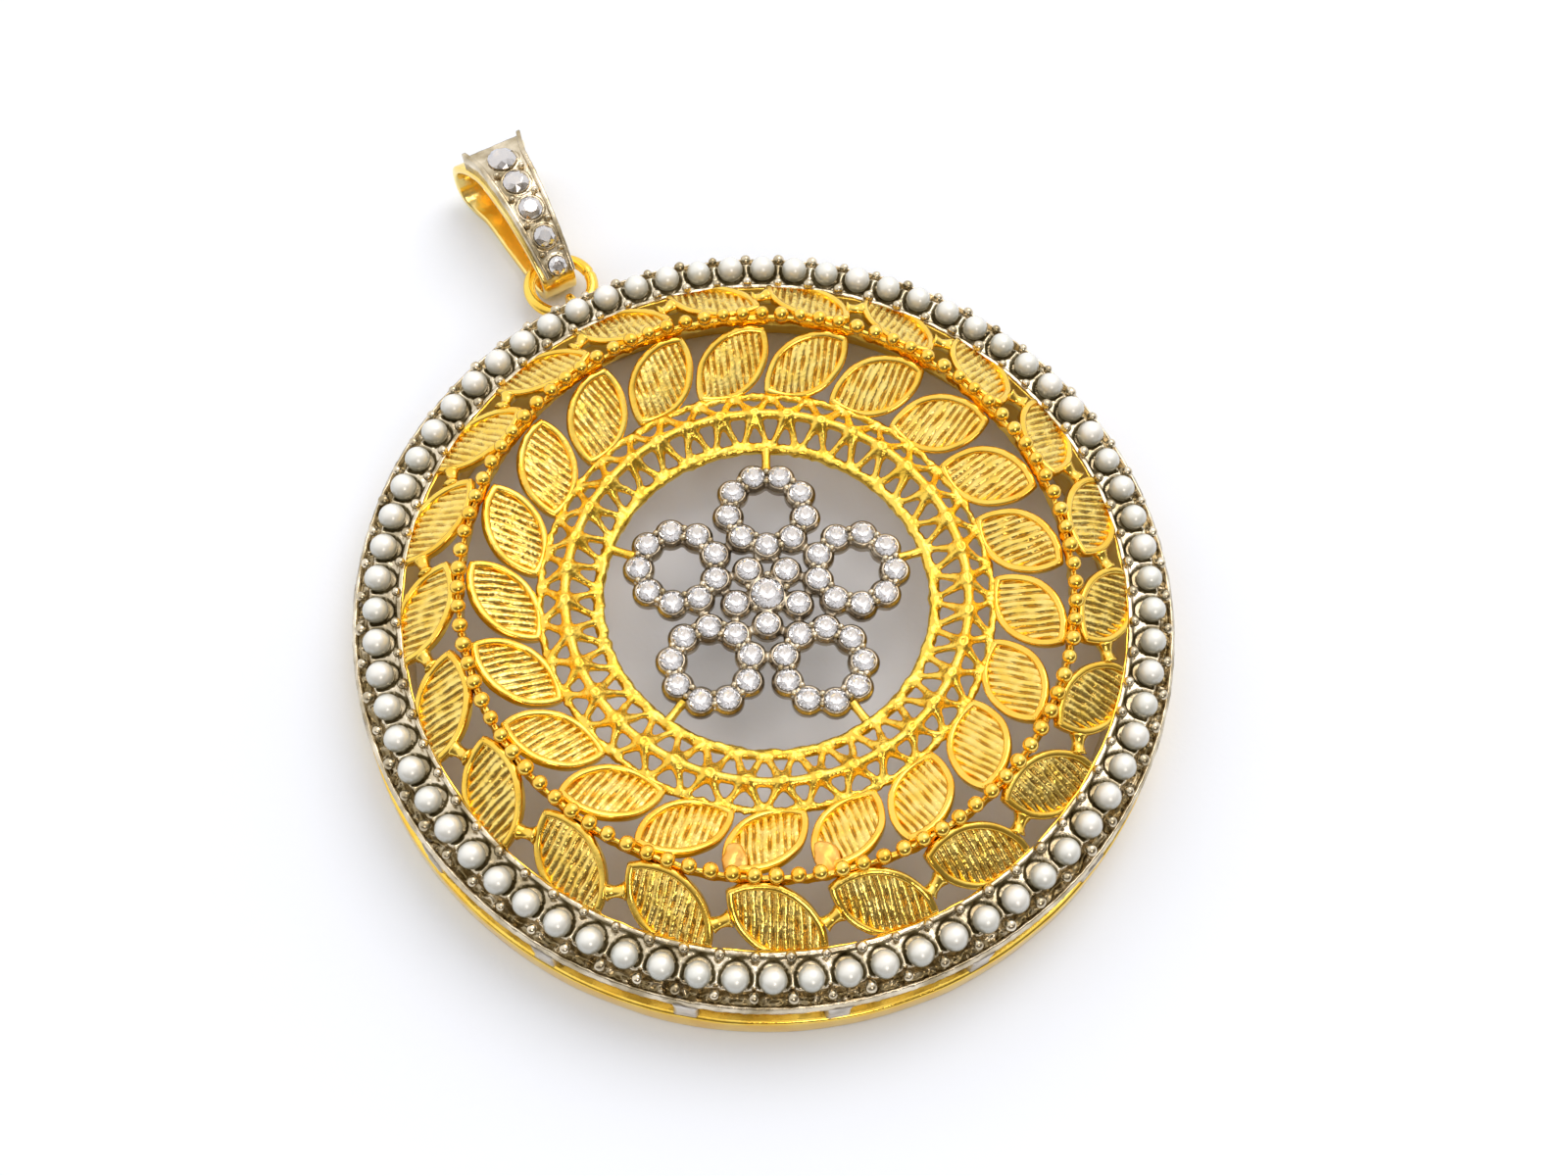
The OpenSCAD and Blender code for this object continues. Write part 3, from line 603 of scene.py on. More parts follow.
def leaf_blade(length, width, lean, steps=80, across=52):
    """Points, faces and the painted shade of the grooves of an engraved blade, with cuts that run out from
    the centre.
    """
    inset = leaf_wire_w * 0.8
    reach = length / 2
    while leaf_half_width(length, width, reach) < inset + 0.02:
        reach -= 0.01
    rings = []
    groove_shades = []
    for i in range(steps + 1):
        x = reach * (2 * i / steps - 1)
        half = leaf_half_width(length, width, x) - inset
        ring = []
        for k in range(across + 1):
            s = 2 * k / across - 1
            y = half * s
            cut = (x * math.sin(lean) + y * math.cos(lean)) / cut_pitch
            cut += 0.2 * noise.noise(Vector((x, y, 0)) * 0.9)
            rib = abs(2 * (cut % 1) - 1)
            broken = min(max(0.8 + 0.9 * noise.noise(Vector((x, y, 7)) * 1.6), 0.3), 1.1)
            groove_and_shade = (1 - ease(rib, 0.0, 0.6)) * broken
            pit = 0.02 * noise.noise(Vector((x, y, 3)) * 6)
            height = leaf_wire_h / 2 - blade_sink + blade_crown * (1 - s * s) - cut_depth * groove_and_shade + pit
            ring.append(Vector((x, y, height)))
            # Painted shade in the cuts: three quarters of each groove's share of its depth.
            groove_shades.append(min(groove_and_shade, 1) * 0.75)
        for s in (1, 0, -1):
            ring.append(Vector((x, half * s, -leaf_wire_h / 2)))
            groove_shades.append(0.0)
        rings.append(ring)
    points, faces = skin(rings, False)
    return points, faces, groove_shades


def between_radii(points, least, most):
    """Points kept between two radii, as leaves are filed to fit what they are soldered to."""
    kept = []
    for point in points:
        radius = math.hypot(point.x, point.y)
        fit = min(max(radius, least), most) / radius
        kept.append(Vector((point.x * fit, point.y * fit, point.z)))
    return kept


def leaf_row(name, start, end, width, first, least, most, seed):
    """A whole row of leaves: their wires and their engraved blades, as two pieces."""
    place, lean = leaf_place(start, end)
    length = (end - start).length
    points, faces = leaf_wire(length, width)
    laid = [place @ point for point in uneven(points, 1.2, 0.04)]
    wires = make(name + "_wires", between_radii(laid, least, most), faces, polished_gold)
    points, faces, groove_shades = leaf_blade(length, width, lean)
    laid = [place @ point for point in points]
    blades = make(name + "_engraving", between_radii(laid, least, most), faces, engraved_gold)
    # The blades carry the painted shade of their cuts.
    blades.data.attributes.new("groove_and_shade", "FLOAT", "POINT").data.foreach_set("value", groove_shades)
    for row, material in ((wires, polished_gold), (blades, engraved_gold)):
        grow(row, copies_tree, {"Count": leaf_count, "First angle": first, "Shift": 0.03, "Seed": seed,
                                "Material": material})
    return wires, blades


outer_leaf_w = 3.15
outer_leaf_share = 0.93
outer_first = math.radians(1.3)
outer_leaf_gap = 0.25
outer_in_end = polar(crest_out_r + outer_leaf_gap, -outer_leaf_share * leaf_turn / 2,
                     rail_high.z - (leaf_wire_h + outer_leaf_gap) / 2)
outer_out_end = polar(rim_inner_r + 0.2, outer_leaf_share * leaf_turn / 2, floor_z + leaf_wire_h / 2)
wires, blades = leaf_row("outer_leaf", outer_in_end, outer_out_end, outer_leaf_w, outer_first,
                         bead_circle_r + rail_foot_half - 0.05, rim_inner_r - 0.05, 31)
settle(wires, "medallion", "gold_polished", "outer_leaf_frames")
settle(blades, "medallion", "gold_engraved", "outer_leaf_blades")


# Pins between the outer leaves.
# A short wire ties each leaf to the next, and its solder has run out along both, so it is thick at
# its ends.
def soldered_rod(start, end, radius, start_flare, end_flare, sides=12, steps=10):
    """Points and faces of a round rod that widens at its ends, as soldered wire does."""
    along = end - start
    turn = along.to_track_quat("Z", "Y")
    rings = []
    for i in range(steps + 1):
        t = i / steps
        r = radius * (1 + start_flare * (1 - t) ** 3 + end_flare * t ** 3)
        rings.append([start + along * t + turn @ Vector((r * math.cos(math.tau * k / sides),
                                                         r * math.sin(math.tau * k / sides), 0))
                      for k in range(sides)])
    return skin(rings, False)


def leaf_edge(start, end, width, x, side):
    """A point on the edge of a leaf, at x from its middle."""
    place = leaf_place(start, end)[0]
    return place @ Vector((x, side * leaf_half_width((end - start).length, width, x), 0))


turn_on = Matrix.Rotation(leaf_turn, 3, "Z")
leaf_along = (outer_out_end - outer_in_end).normalized()
leaf_middle = (outer_in_end + outer_out_end) / 2
pin_x = (turn_on @ leaf_middle - leaf_middle).dot(leaf_along) / 2
pin_start = leaf_edge(outer_in_end, outer_out_end, outer_leaf_w, pin_x, 1)
pin_end = turn_on @ leaf_edge(outer_in_end, outer_out_end, outer_leaf_w, -pin_x, -1)
pin_r = 0.24
pin_flare = 0.9
points, faces = soldered_rod(pin_start, pin_end, pin_r, pin_flare, pin_flare)
pins = make("outer_leaf_ties", uneven(points, 0.5, 0.05), faces, polished_gold)
grow(pins, copies_tree, {"Count": leaf_count, "First angle": outer_first, "Shift": 0.03, "Seed": 33,
                         "Material": polished_gold})
settle(pins, "medallion", "gold_polished", "outer_leaf_pins")


# Inner leaves.
# The same leaves lean the other way, from the foot of the crest wire down to the lattice. Two of their
# joints were mended with a lump of paler solder.
inner_leaf_w = 3.1
inner_first = math.radians(1.2)
lattice_outer_low, lattice_outer_high = box_mm("lattice_outer_wire")
lattice_outer_z = (lattice_outer_low.z + lattice_outer_high.z) / 2
crest_in_r = bead_circle_r - 0.33
inner_in_end = polar(lattice_outer_high.x + solder_gap, leaf_turn / 2, lattice_outer_z)
inner_out_end = polar(crest_in_r, -leaf_turn / 2, rail_low.z)
wires, blades = leaf_row("inner_leaf", inner_in_end, inner_out_end, inner_leaf_w, inner_first,
                         lattice_outer_high.x - 0.15, bead_circle_r - rail_foot_half + 0.05, 41)
settle(wires, "medallion", "gold_polished", "inner_leaf_frames")
settle(blades, "medallion", "gold_engraved", "inner_leaf_blades")


def melted(piece, voxel):
    """Joins the solids of a piece as solder does, and leaves one plain mesh with soft joints."""
    remesh = piece.modifiers.new("melt", "REMESH")
    remesh.mode = "VOXEL"
    remesh.voxel_size = voxel
    soften = piece.modifiers.new("soften", "SMOOTH")
    soften.factor = 0.5
    soften.iterations = 3
    made_plain(piece)
    piece.data.shade_smooth()
    return piece


# Pale solder: a dull peach lump on the brighter gold.
pale_solder = plated_metal("pale_solder", "#F9C46C", "#EEB052", 0.4, 0.2, 0.02)

mended_leaves = (-7, -6)
lump_melt = 0.07
lumps = []
for k in mended_leaves:
    tip = inner_first + leaf_turn * (k - 0.5)
    lumps.append(blob(polar(crest_in_r - 0.7, tip + 0.03, rail_low.z + 0.02), (1.6, 1.1, 0.4), tip + 0.5))
    lumps.append(blob(polar(crest_in_r - 0.1, tip + 0.02, rail_low.z + 0.15), (1.2, 0.9, 0.4), tip))
    lumps.append(blob(polar(crest_in_r - 0.5, tip + 0.02, rail_low.z + 0.1), (1.3, 1.0, 0.4), tip))
points, faces = merged(lumps)
mended = melted(make("inner_leaf_solder_lumps", uneven(points, 0.6, 0.15), faces, pale_solder), lump_melt)
settle(mended, "medallion", "gold_polished", "inner_leaf_frames")


# Lattice.
# Three wire rings with a zigzag of thinner wire in each of the two gaps, all soldered and then plated
# together. The middle ring is smooth. Solder webs the joints, and makes the inner and outer rings rough.
middle_low, middle_high = box_mm("lattice_middle_wire")
inner_low, inner_high = box_mm("lattice_inner_wire")
cad_wire_r = (middle_high.z - middle_low.z) / 2
lattice_rings = [(high.x - cad_wire_r, (low.z + high.z) / 2)
                 for low, high in ((inner_low, inner_high), (middle_low, middle_high),
                                   (lattice_outer_low, lattice_outer_high))]
# For the inner, middle and outer ring: the wire's radius, and the size and depth of its unevenness.
lattice_wires = ((0.3, 0.35, 0.12), (0.27, 0.8, 0.02), (0.21, 0.35, 0.15))
wire_sides = 12
zigzag_count = 36
zigzag_r = 0.17
apex = 0.06
# How much a leg of the zigzag widens, first away from the middle ring and then on it.
leg_flares = (0.3, 1.5)
web_sizes = (0.6, 0.62, 0.7)
web_stretch = 1.15
web_h = 0.42
web_in = 0.16
web_drop = 0.08
lattice_first = math.radians(4.5)
lattice_melt = 0.087

# Rough gold plate: the lattice's own, duller and deeper in colour from solder and plating in its corners.
rough_gold = plated_metal("rough_gold_plate", "#FFD960", "#F4C746", 0.15, 0.16, 0.03)

parts = []
for (radius, height), (wire_r, size, depth) in zip(lattice_rings, lattice_wires):
    sides = [math.tau * k / wire_sides for k in range(wire_sides)]
    wire = [(radius + wire_r * math.cos(side), height + wire_r * math.sin(side)) for side in sides]
    points, faces = lathe(wire, 480)
    parts.append((uneven(points, size, depth), faces))
for row, (near, far) in enumerate(zip(lattice_rings, lattice_rings[1:])):
    first = lattice_first + (1 - row) * math.pi / zigzag_count
    for k in range(zigzag_count):
        foot = first + math.tau * k / zigzag_count
        for side in (-1, 1):
            start = polar(near[0], foot + side * apex / near[0], near[1])
            end = polar(far[0], foot + side * (math.pi / zigzag_count - apex / far[0]), far[1])
            points, faces = soldered_rod(start, end, zigzag_r, leg_flares[row], leg_flares[1 - row], 8, 8)
            parts.append((uneven(points, 0.4, 0.08), faces))
        crown = foot + math.pi / zigzag_count
        for size, radius, turn, height in ((web_sizes[row], near[0] + web_in, foot, near[1]),
                                           (web_sizes[row + 1], far[0] - web_in, crown, far[1])):
            sizes = (size, size * web_stretch, web_h)
            parts.append(blob(polar(radius, turn, height - web_drop), sizes, turn))
points, faces = merged(parts)
lattice = melted(make("wire_lattice", points, faces, rough_gold), lattice_melt)
settle(lattice, "medallion", "gold_polished", "lattice_outer_wire", "lattice_outer_zigzag",
       "lattice_middle_wire", "lattice_inner_zigzag", "lattice_inner_wire")


# Blossom plate and its struts.
# A white-metal plate cast as a cluster of small cups, one for each stone, drilled through from behind.
# Five gold struts hold it in the lattice.
plate_low, plate_high = box_mm("motif_plate")
petal_count = 5
petal_stones = 9
petal_reach = 4.6
petal_r = 1.95
heart_r = 1.6
blossom_first = math.radians(60.9)
stone_d = 1.12
centre_stone_d = 1.6
cup_margin = 0.24
plate_t = plate_high.z - plate_low.z
blossom_melt = 0.066

# Rhodium plate, darkened: a grey brown metal that makes the stones look brighter.
dark_rhodium = plated_metal("darkened_rhodium_plate", "#BEB29E", "#7E7262", 0.2, 0.2, 0.02)


def petal_points(radius, shift):
    """Places on the circle of every petal, turned by a shift round the petal's middle."""
    places = []
    for p in range(petal_count):
        petal = blossom_first + math.tau * p / petal_count
        middle = polar(petal_reach, petal, 0)
        for k in range(petal_stones):
            places.append(middle + polar(radius, petal + math.pi + shift + math.tau * k / petal_stones, 0))
    return places


def blossom_seats():
    """Middle and diameter of every stone of the blossom."""
    seats = [(Vector((0, 0, 0)), centre_stone_d)]
    seats += [(place, stone_d) for place in petal_points(petal_r, 0)]
    for p in range(petal_count):
        seats.append((polar(heart_r, blossom_first + math.tau * (p + 0.5) / petal_count, 0), stone_d))
    return seats


def stone_cup(diameter):
    """Outline of (radius, height above the plate's back) of the cup under one stone."""
    hole_r = diameter * 0.38
    rim_r = diameter / 2
    return rounded([(hole_r, 0), (rim_r + cup_margin, 0), (rim_r + cup_margin, plate_t - 0.05),
                    (rim_r + 0.12, plate_t), (rim_r + 0.1, plate_t + 0.13), (rim_r, plate_t + 0.13),
                    (hole_r, plate_t - 0.15)], 0.06, 2)


parts = []
for middle, diameter in blossom_seats():
    points, faces = lathe(stone_cup(diameter), 28)
    parts.append(([point + middle + Vector((0, 0, plate_low.z)) for point in points], faces))
points, faces = merged(parts)
plate = melted(make("blossom_cup_plate", points, faces, dark_rhodium), blossom_melt)
settle(plate, "medallion", "white_metal", "motif_plate")

strut_r = 0.2
strut_flare = 0.5
strut_z = (plate_low.z + plate_high.z) / 2
petal_tip = petal_reach + petal_r + 0.3
points, faces = soldered_rod(Vector((petal_tip, 0, strut_z)), Vector((inner_high.x - 0.2, 0, strut_z)),
                             strut_r, strut_flare, strut_flare)
struts = make("blossom_struts", points, faces, rough_gold)
grow(struts, copies_tree, {"Count": petal_count, "First angle": blossom_first, "Shift": 0.02, "Seed": 51,
                           "Material": rough_gold})
settle(struts, "medallion", "gold_polished", "motif_struts")


# Claws and stones of the blossom.
# Round clear stones, cut as brilliants, with small grains of the plate pressed over their edges.
def pieces_on_seats():
    """Tree that sets copies of one piece on points, by the size and turn that each point carries."""
    tree, given = new_tree("pieces_on_seats", ("Geometry", "Geometry"), ("Piece", "Object"),
                           ("Material", "Material"))
    piece = add(tree, "GeometryNodeObjectInfo", {"Object": given["Piece"]})
    size = add(tree, "GeometryNodeInputNamedAttribute", {"Name": "size"}, data_type="FLOAT")
    turn = add(tree, "GeometryNodeInputNamedAttribute", {"Name": "turn"}, data_type="FLOAT_VECTOR")
    euler = add(tree, "FunctionNodeEulerToRotation", {0: turn.outputs[0]})
    copies = add(tree, "GeometryNodeInstanceOnPoints", {"Points": given["Geometry"],
                                                        "Instance": piece.outputs["Geometry"],
                                                        "Rotation": euler.outputs[0],
                                                        "Scale": size.outputs[0]})
    return end_tree(tree, copies.outputs[0], given["Material"])


def set_on_seats(name, piece, seats, material):
    """Copies of a piece on a list of (place, size, turn)."""
    mesh = bpy.data.meshes.new(name)
    mesh.from_pydata([place for place, size, turn in seats], [], [])
    sizes = mesh.attributes.new("size", "FLOAT", "POINT")
    turns = mesh.attributes.new("turn", "FLOAT_VECTOR", "POINT")
    for i, (place, size, turn) in enumerate(seats):
        sizes.data[i].value = size
        turns.data[i].vector = turn
    return grow(in_scene(name, mesh), seats_tree, {"Piece": piece, "Material": material})


def brilliant(name, material):
    """A round brilliant of diameter 1, its girdle on Z = 0: a table, crown and pavilion facets.
    A ring of corners has their number, its radius, its height and its turn in parts of a step."""
    rings = ((8, 0.28, 0.2, 0.5), (8, 0.41, 0.11, 0), (16, 0.5, 0.02, 0), (16, 0.5, -0.02, 0),
             (8, 0.25, -0.23, 0.5))
    point_depth = 0.42
    shape = bmesh.new()
    for count, radius, height, shift in rings:
        for k in range(count):
            shape.verts.new(polar(radius, math.tau * (k + shift) / count, height))
    shape.verts.new((0, 0, -point_depth))
    bmesh.ops.convex_hull(shape, input=shape.verts)
    bmesh.ops.recalc_face_normals(shape, faces=shape.faces)
    mesh = bpy.data.meshes.new(name)
    shape.to_mesh(mesh)
    shape.free()
    mesh.materials.append(material)
    return in_scene(name, mesh)


def clear_stone(name, backing):
    """Cut colourless stone: hard bright facets, a strong bend of the light and a share of bright backing."""
    material, tree = new_material(name)
    place = add(tree, "ShaderNodeTexCoord").outputs["Object"]
    haze = add(tree, "ShaderNodeTexNoise", {"Vector": place, "Scale": 1000 / 0.4})
    wear = add(tree, "ShaderNodeMapRange", {"Value": haze.outputs["Fac"], "To Min": 0.0, "To Max": 0.02})
    stone = add(tree, "ShaderNodeBsdfPrincipled", {"Base Color": linear("#F4F2F4"), "IOR": 2.0,
                                                   "Roughness": wear.outputs["Result"],
                                                   "Transmission Weight": 0.95, "Metallic": backing})
    add(tree, "ShaderNodeOutputMaterial", {"Surface": stone.outputs[0]})
    return material


def drop(piece):
    """Removes a pattern piece once its copies are made."""
    bpy.data.objects.remove(piece)


seats_tree = pieces_on_seats()
girdle_z = 0.17

# Clear cut stone, open behind: it shows the dark metal through its facets.
cut_stone = clear_stone("clear_cut_stone", 0.0)

cut = brilliant("cut_pattern", cut_stone)
seats = [(middle + Vector((0, 0, plate_high.z + girdle_z)), diameter, (0, 0, 7.0 * i))
         for i, (middle, diameter) in enumerate(blossom_seats())]
stones = set_on_seats("blossom_stones", cut, seats, cut_stone)
settle(stones, "medallion", "clear_stone", "motif_stones")

claw_d = 0.34
claw_spread = 0.15
claw_z = plate_high.z + 0.2
waist_r = petal_r * math.cos(math.pi / petal_stones)
waist_half = math.sqrt((stone_d / 2 + cup_margin) ** 2 - (petal_r * math.sin(math.pi / petal_stones)) ** 2)
claw_off = waist_half - claw_d / 2
spots = petal_points(waist_r - claw_off, math.pi / petal_stones)
spots += petal_points(waist_r + claw_off, math.pi / petal_stones)
spots += [polar((centre_stone_d + claw_d) / 2 + solder_gap, blossom_first + math.tau * p / petal_count, 0)
          for p in range(petal_count)]
grain_pattern = ball("grain_pattern", 2, worn_rhodium, 0.1)
seats = []
for i, spot in enumerate(spots):
    size = claw_d * (1 + claw_spread * noise.noise(spot * 3))
    seats.append((spot + Vector((0, 0, claw_z)), size, (3.0 * i, 5.0 * i, 7.0 * i)))
claws = set_on_seats("blossom_claw_grains", grain_pattern, seats, worn_rhodium)
settle(claws, "medallion", "white_metal", "motif_claws")


# Hanging eye and jump ring.
# A small eye of round gold wire soldered to the band, and a loose ring of thicker wire through it, bent
# shut with a fine seam.
eye_low, eye_high = box_mm("hanging_eye")
ring_low, ring_high = box_mm("jump_ring")
eye_wire_r = (eye_high.x - eye_low.x) / 2
eye_z = (eye_low.z + eye_high.z) / 2
eye_r = (eye_high.z - eye_low.z) / 2 - eye_wire_r
eye_y = eye_high.y - eye_r - eye_wire_r
ring_wire_r = (ring_high.z - ring_low.z) / 2
ring_r = (ring_high.x - ring_low.x) / 2 - ring_wire_r
ring_middle = (ring_low + ring_high) / 2
seam_w = 0.08
seam_depth = 0.2


def wire_ring(radius, wire_r, steps, seam=0.0, sides=20):
    """Points and faces of a ring of round wire round Z, with its seam as a shallow nick."""
    rings = []
    for i in range(steps):
        turn = math.tau * i / steps
        away = min(i, steps - i) / steps * math.tau * radius
        thin = wire_r * (1 - seam * math.exp(-(away / seam_w) ** 2))
        ring = []
        for k in range(sides):
            side = math.tau * k / sides
            ring.append(polar(radius + thin * math.cos(side), turn, thin * math.sin(side)))
        rings.append(ring)
    return skin(rings, True)


points, faces = wire_ring(eye_r, eye_wire_r, 64)
upright = Matrix.Translation((0, eye_y, eye_z)) @ Matrix.Rotation(math.pi / 2, 4, "Y")
settle(make("soldered_eye", [upright @ point for point in points], faces, polished_gold),
       "medallion", "gold_polished", "hanging_eye")
points, faces = wire_ring(ring_r, ring_wire_r, 160, seam_depth)
settle(make("loose_ring", [point + ring_middle for point in uneven(points, 1.5, 0.02)], faces, polished_gold),
       "jump_ring", "gold_polished", "jump_ring")


# Bail loop.
# A tapered strip of gold bent into a long loop: a flat back, a small bend on the jump ring, a wide bend
# for the chain and a bowed front that carries the stones.
loop_low, loop_high = box_mm("bail_loop")
strip_t = 0.45
end_bend_r = 1.25
top_bend_r = 2.0
bow_r = 7.7
end_w = 1.75
top_w = 3.4
top_flare = 0.9
strip_edge_r = 0.14
back_steps = 24
face_t = 0.8
end_middle = Vector((loop_low.y + end_bend_r, end_bend_r))
top_middle = Vector((loop_high.y - top_bend_r, top_bend_r))


def bow_middle():
    """Centre, as (y, z), of the bow that runs smoothly into both bends."""
    apart = top_middle - end_middle
    near = bow_r - end_bend_r
    far = bow_r - top_bend_r
    along = (near ** 2 - far ** 2 + apart.length ** 2) / (2 * apart.length)
    down = math.sqrt(near ** 2 - along ** 2)
    unit = apart.normalized()
    return end_middle + along * unit + down * Vector((unit.y, -unit.x))


def bail_width(y):
    """Width of the strip at y along the bail."""
    share = (y - loop_low.y + face_t) / (loop_high.y - loop_low.y + face_t)
    return end_w + (top_w - end_w) * share + top_flare * ease(share, 0.72, 1.0)


# Buffed gold plate: paler than the rest, so the inside of the loop stays yellow where it mirrors itself.
buffed_gold = plated_metal("buffed_gold_plate", "#FFE99C", "#FBD97A", 0.18, 0.25, 0.012)

bow_c = bow_middle()
end_angle = math.atan2(end_middle.y - bow_c.y, end_middle.x - bow_c.x)
top_angle = math.atan2(top_middle.y - bow_c.y, top_middle.x - bow_c.x)
path = []
for k in range(back_steps):
    path.append((Vector((end_middle.x + (top_middle.x - end_middle.x) * k / back_steps, 0)), -math.pi / 2))
for middle, radius, first, last, steps in ((top_middle, top_bend_r, -math.pi / 2, top_angle, 28),
                                           (bow_c, bow_r, top_angle, end_angle, 40),
                                           (end_middle, end_bend_r, end_angle, 1.5 * math.pi, 24)):
    for k in range(steps):
        angle = first + (last - first) * k / steps
        path.append((middle + radius * Vector((math.cos(angle), math.sin(angle))), angle))
rings = []
for spot, angle in path:
    half = bail_width(spot.x) / 2
    outline = rounded([(-half, 0), (half, 0), (half, -strip_t), (-half, -strip_t)], strip_edge_r, 3)
    rings.append([Vector((x, spot.x + depth * math.cos(angle), spot.y + depth * math.sin(angle)))
                  for x, depth in outline])
points, faces = skin(rings, True)
settle(make("bail_gold_loop", uneven(points, 2, 0.03), faces, buffed_gold),
       "bail", "gold_polished", "bail_loop")


# Bail face and its grains.
# A white-metal plate over the bow, with a raised lip down each side and a row of cups that get smaller
# towards the ring. Grains between the cups hold the stones.
face_step = 0.1
face_lip_w = 0.25
face_lip_h = 0.18
face_lip_rise = 0.12
lip_edge = 0.05
lip_foot = 0.06
cup_rim_h = 0.12
cup_rim_w = 0.07
cup_depth = 0.3
face_steps = 120
face_across = 24
face_r = bow_r + face_t
face_stone_count = 5
top_stone_d = 1.55
end_stone_d = 1.0
stone_row = math.radians(45)
row_shift = math.radians(2.8)
row_first = (end_angle + top_angle - stone_row) / 2 + row_shift
face_stones = [(row_first + stone_row * k / (face_stone_count - 1),
                top_stone_d + (end_stone_d - top_stone_d) * k / (face_stone_count - 1))
               for k in range(face_stone_count)]


def on_bow(angle, radius, x):
    """A point over the bail's bow."""
    return Vector((x, bow_c.x + radius * math.cos(angle), bow_c.y + radius * math.sin(angle)))


def face_floor(angle, x):
    """Radius of the face between its lips, with the cup of the nearest stone."""
    height = 0.0
    for stone_angle, diameter in face_stones:
        away = math.hypot(x, (angle - stone_angle) * face_r)
        edge = diameter / 2 + 0.05
        height = max(height, cup_rim_h * math.exp(-((away - edge) / cup_rim_w) ** 2))
        if away < diameter / 2:
            height = -cup_depth
    return face_r + height


rings = []
for i in range(face_steps + 1):
    angle = end_angle + (top_angle - end_angle) * i / face_steps
    half = bail_width(bow_c.x + face_r * math.cos(angle)) / 2 - face_step
    lip = face_r + face_lip_h + face_lip_rise * (i / face_steps) ** 3
    inner_half = half - face_lip_w
    ring = [on_bow(angle, bow_r, -half), on_bow(angle, bow_r, half), on_bow(angle, lip - lip_edge, half),
            on_bow(angle, lip, half - lip_edge), on_bow(angle, lip, inner_half + lip_edge),
            on_bow(angle, lip - lip_foot, inner_half)]
    for k in range(face_across + 1):
        x = inner_half * (1 - 2 * k / face_across)
        ring.append(on_bow(angle, face_floor(angle, x), x))
    ring += [on_bow(angle, lip - lip_foot, -inner_half), on_bow(angle, lip, -inner_half - lip_edge),
             on_bow(angle, lip, lip_edge - half), on_bow(angle, lip - lip_edge, -half)]
    rings.append(ring)
points, faces = skin(rings, False)
settle(make("bail_setting_plate", uneven(points, 0.4, 0.02), faces, worn_rhodium),
       "bail", "white_metal", "bail_face")

face_grain_d = 0.36
face_grain_rise = 0.12
seats = []
for (angle, diameter), (next_angle, next_diameter) in zip(face_stones, face_stones[1:]):
    for side in (-1, 1):
        spot = on_bow((angle + next_angle) / 2, face_r + face_grain_rise,
                      side * (diameter + next_diameter) / 4)
        seats.append((spot, face_grain_d, (spot.y, 2 * spot.y, 3 * side)))
face_grains = set_on_seats("bail_grains_pressed", grain_pattern, seats, worn_rhodium)
settle(face_grains, "bail", "white_metal", "bail_grains")
drop(grain_pattern)


# Bail stones.
# Five brilliants like those of the blossom, each a little smaller than the one above it. Their cups are
# closed behind.

# Stone with a foil behind it: brighter than the others, because the foil throws the light out again.
closed_stone = clear_stone("foil_backed_cut_stone", 0.6)

seats = [(on_bow(angle, face_r + girdle_z, 0), diameter, (angle - math.pi / 2, 0, 0))
         for angle, diameter in face_stones]
graded = set_on_seats("bail_graded_stones", cut, seats, closed_stone)
settle(graded, "bail", "clear_stone", "bail_stones")
drop(cut)


# Floor.
# A sheet of smooth white card. It is bright enough to fade to white, and takes a soft cool shadow.
floor_half = 1.5

# Smooth white card: matt, with a grain that is too fine to see apart from a soft look.
card, card_tree = new_material("white_card")
card_place = add(card_tree, "ShaderNodeTexCoord").outputs["Object"]
card_grain = add(card_tree, "ShaderNodeTexNoise", {"Vector": card_place, "Scale": 1000 / 0.4})
card_bump = add(card_tree, "ShaderNodeBump", {"Height": card_grain.outputs["Fac"], "Distance": 0.00001})
card_face = add(card_tree, "ShaderNodeBsdfPrincipled", {"Base Color": linear("#EFF5FF"), "Roughness": 0.7,
                                                        "Specular IOR Level": 0.2,
                                                        "Normal": card_bump.outputs["Normal"]})
add(card_tree, "ShaderNodeOutputMaterial", {"Surface": card_face.outputs[0]})
floor_mesh = bpy.data.meshes.new("floor")
floor_mesh.from_pydata([(-floor_half, -floor_half, 0), (floor_half, -floor_half, 0),
                        (floor_half, floor_half, 0), (-floor_half, floor_half, 0)], [], [(0, 1, 2, 3)])
floor_mesh.materials.append(card)
floor = in_scene("floor", floor_mesh)


# Camera.
# A phone camera held close above the pendant, on the side away from the bail. Its place was worked out
# from the ring of pearls in a picture of 1600 by 1200.
picture_w = 1600
focal_px = 1900.25
sensor_w = 36.0
camera_turn = math.radians(-34.54)
camera_rise = math.radians(65.38)
camera_roll = math.radians(5.219)
camera_away = 91.257
camera_right = 0.816
camera_up = 0.289
level = Matrix.Rotation(camera_turn, 3, "Z")
back = level @ Vector((0, -math.cos(camera_rise), math.sin(camera_rise)))
flat_right = level @ Vector((1, 0, 0))
flat_up = back.cross(flat_right)
right = flat_right * math.cos(camera_roll) + flat_up * math.sin(camera_roll)
up = flat_up * math.cos(camera_roll) - flat_right * math.sin(camera_roll)
eye = right * camera_right + up * camera_up + back * camera_away + Vector((0, 0, pearl_z))
lens = bpy.data.cameras.new("camera")
lens.sensor_width = sensor_w
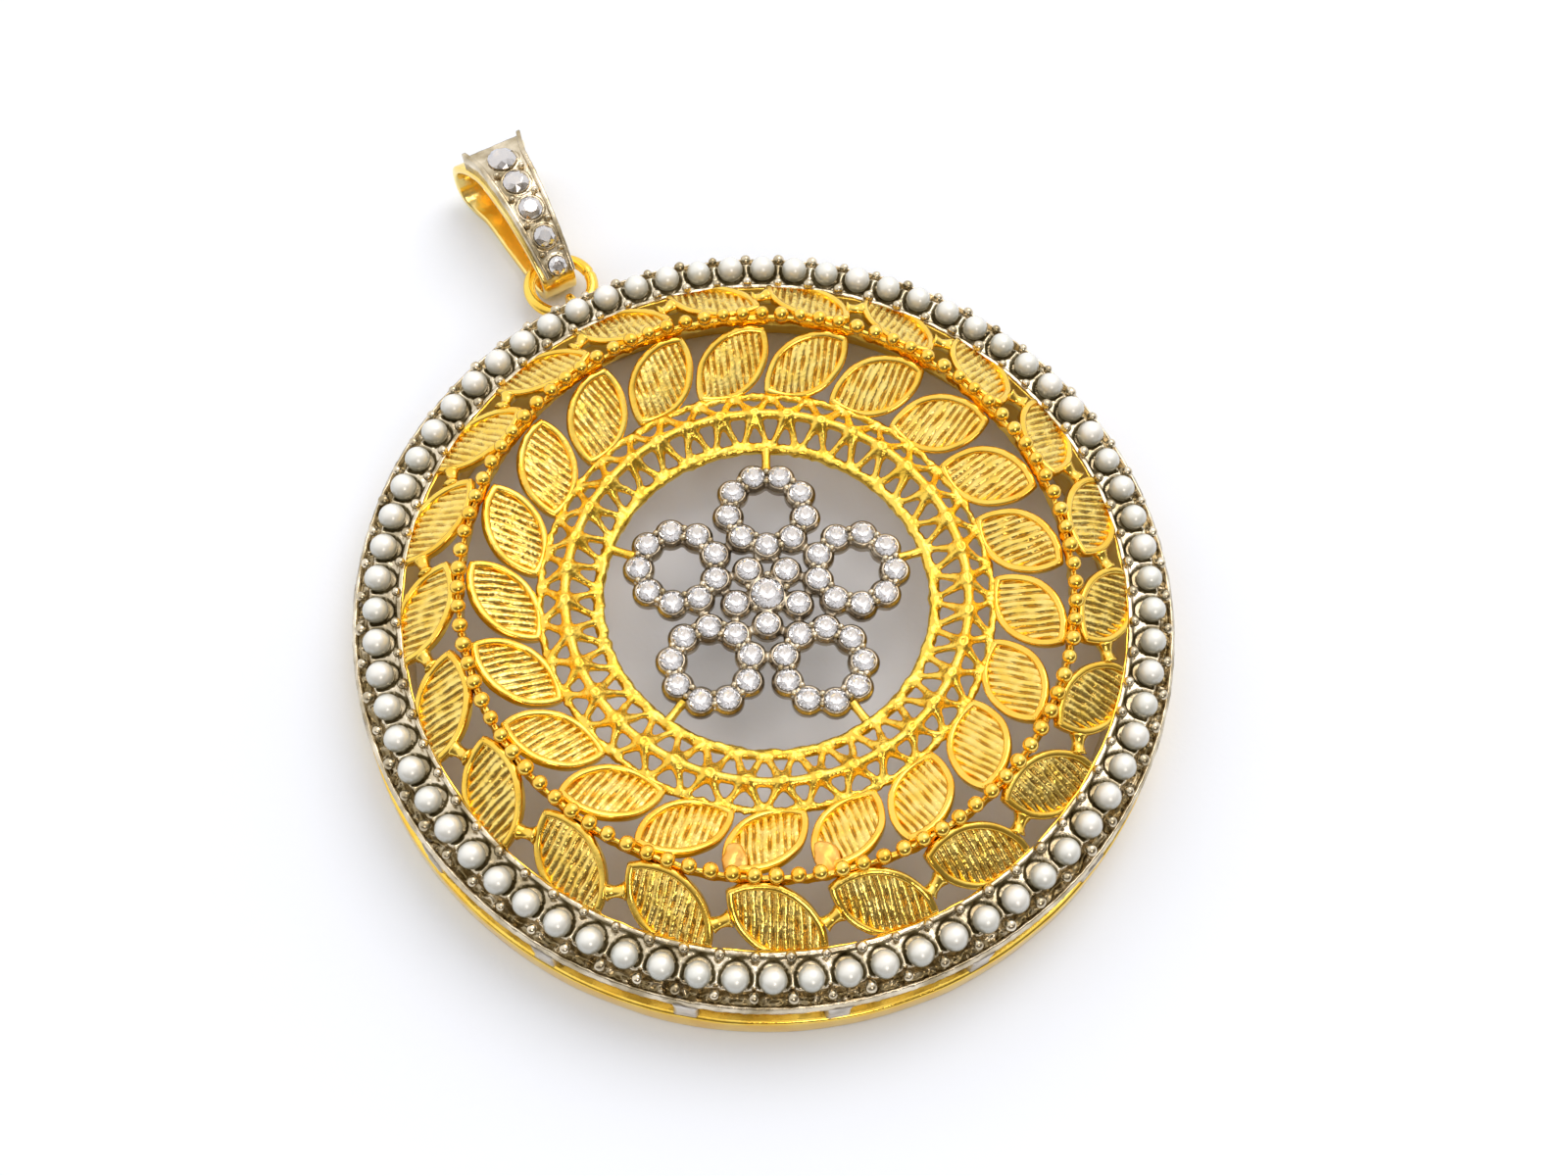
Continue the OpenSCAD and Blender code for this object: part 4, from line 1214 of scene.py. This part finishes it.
lens.lens = sensor_w * focal_px / picture_w
lens.clip_start = 0.005
camera = in_scene("camera", lens)
camera.matrix_world = Matrix.Translation(eye * 0.001) @ Matrix((right, up, back)).transposed().to_4x4()
bpy.context.scene.camera = camera


# Light.
# A white room that is bright on the far left and dim on the near right, a large soft lamp high on the far
# right, and a small one on the near right that lights the edges of the near leaves.
def studio_world(far_side):
    """World whose light falls off smoothly from one direction to the opposite one."""
    world = bpy.data.worlds.new("studio")
    world.use_nodes = True
    tree = world.node_tree
    tree.nodes.clear()
    look = add(tree, "ShaderNodeTexCoord").outputs["Generated"]
    facing = add(tree, "ShaderNodeVectorMath", {0: look, 1: far_side}, operation="DOT_PRODUCT")
    ramp = add(tree, "ShaderNodeMapRange", {"Value": facing.outputs["Value"],
                                            "From Min": -0.35, "From Max": 0.35},
               interpolation_type="SMOOTHSTEP")
    glow = add(tree, "ShaderNodeMix", {0: ramp.outputs["Result"], 6: linear("#746E66"), 7: linear("#F7F6F6")},
               data_type="RGBA")
    sky = add(tree, "ShaderNodeBackground", {"Color": glow.outputs[2], "Strength": 1.18})
    add(tree, "ShaderNodeOutputWorld", {"Surface": sky.outputs[0]})
    return world


far_rise = math.radians(25)
far_turn = math.radians(25)
far_level = Vector((-math.sin(far_turn), math.cos(far_turn), 0)) * math.cos(far_rise)
far_side = level @ (far_level + Vector((0, 0, math.sin(far_rise))))
bpy.context.scene.world = studio_world(far_side)
for name, place, size, power in (("soft_lamp", (0.12, 0.22, 0.42), 0.35, 0.8),
                                 ("small_lamp", (0.12, -0.3, 0.33), 0.15, 0.3)):
    lamp_data = bpy.data.lights.new(name, "AREA")
    lamp_data.shape = "DISK"
    lamp_data.size = size
    lamp_data.energy = power
    lamp_data.color = linear("#FFF4E8")[:3]
    lamp = in_scene(name, lamp_data)
    lamp_from = level @ Vector(place)
    lamp.matrix_world = Matrix.Translation(lamp_from) @ lamp_from.to_track_quat("Z", "Y").to_matrix().to_4x4()

bpy.context.scene.view_settings.view_transform = "Standard"
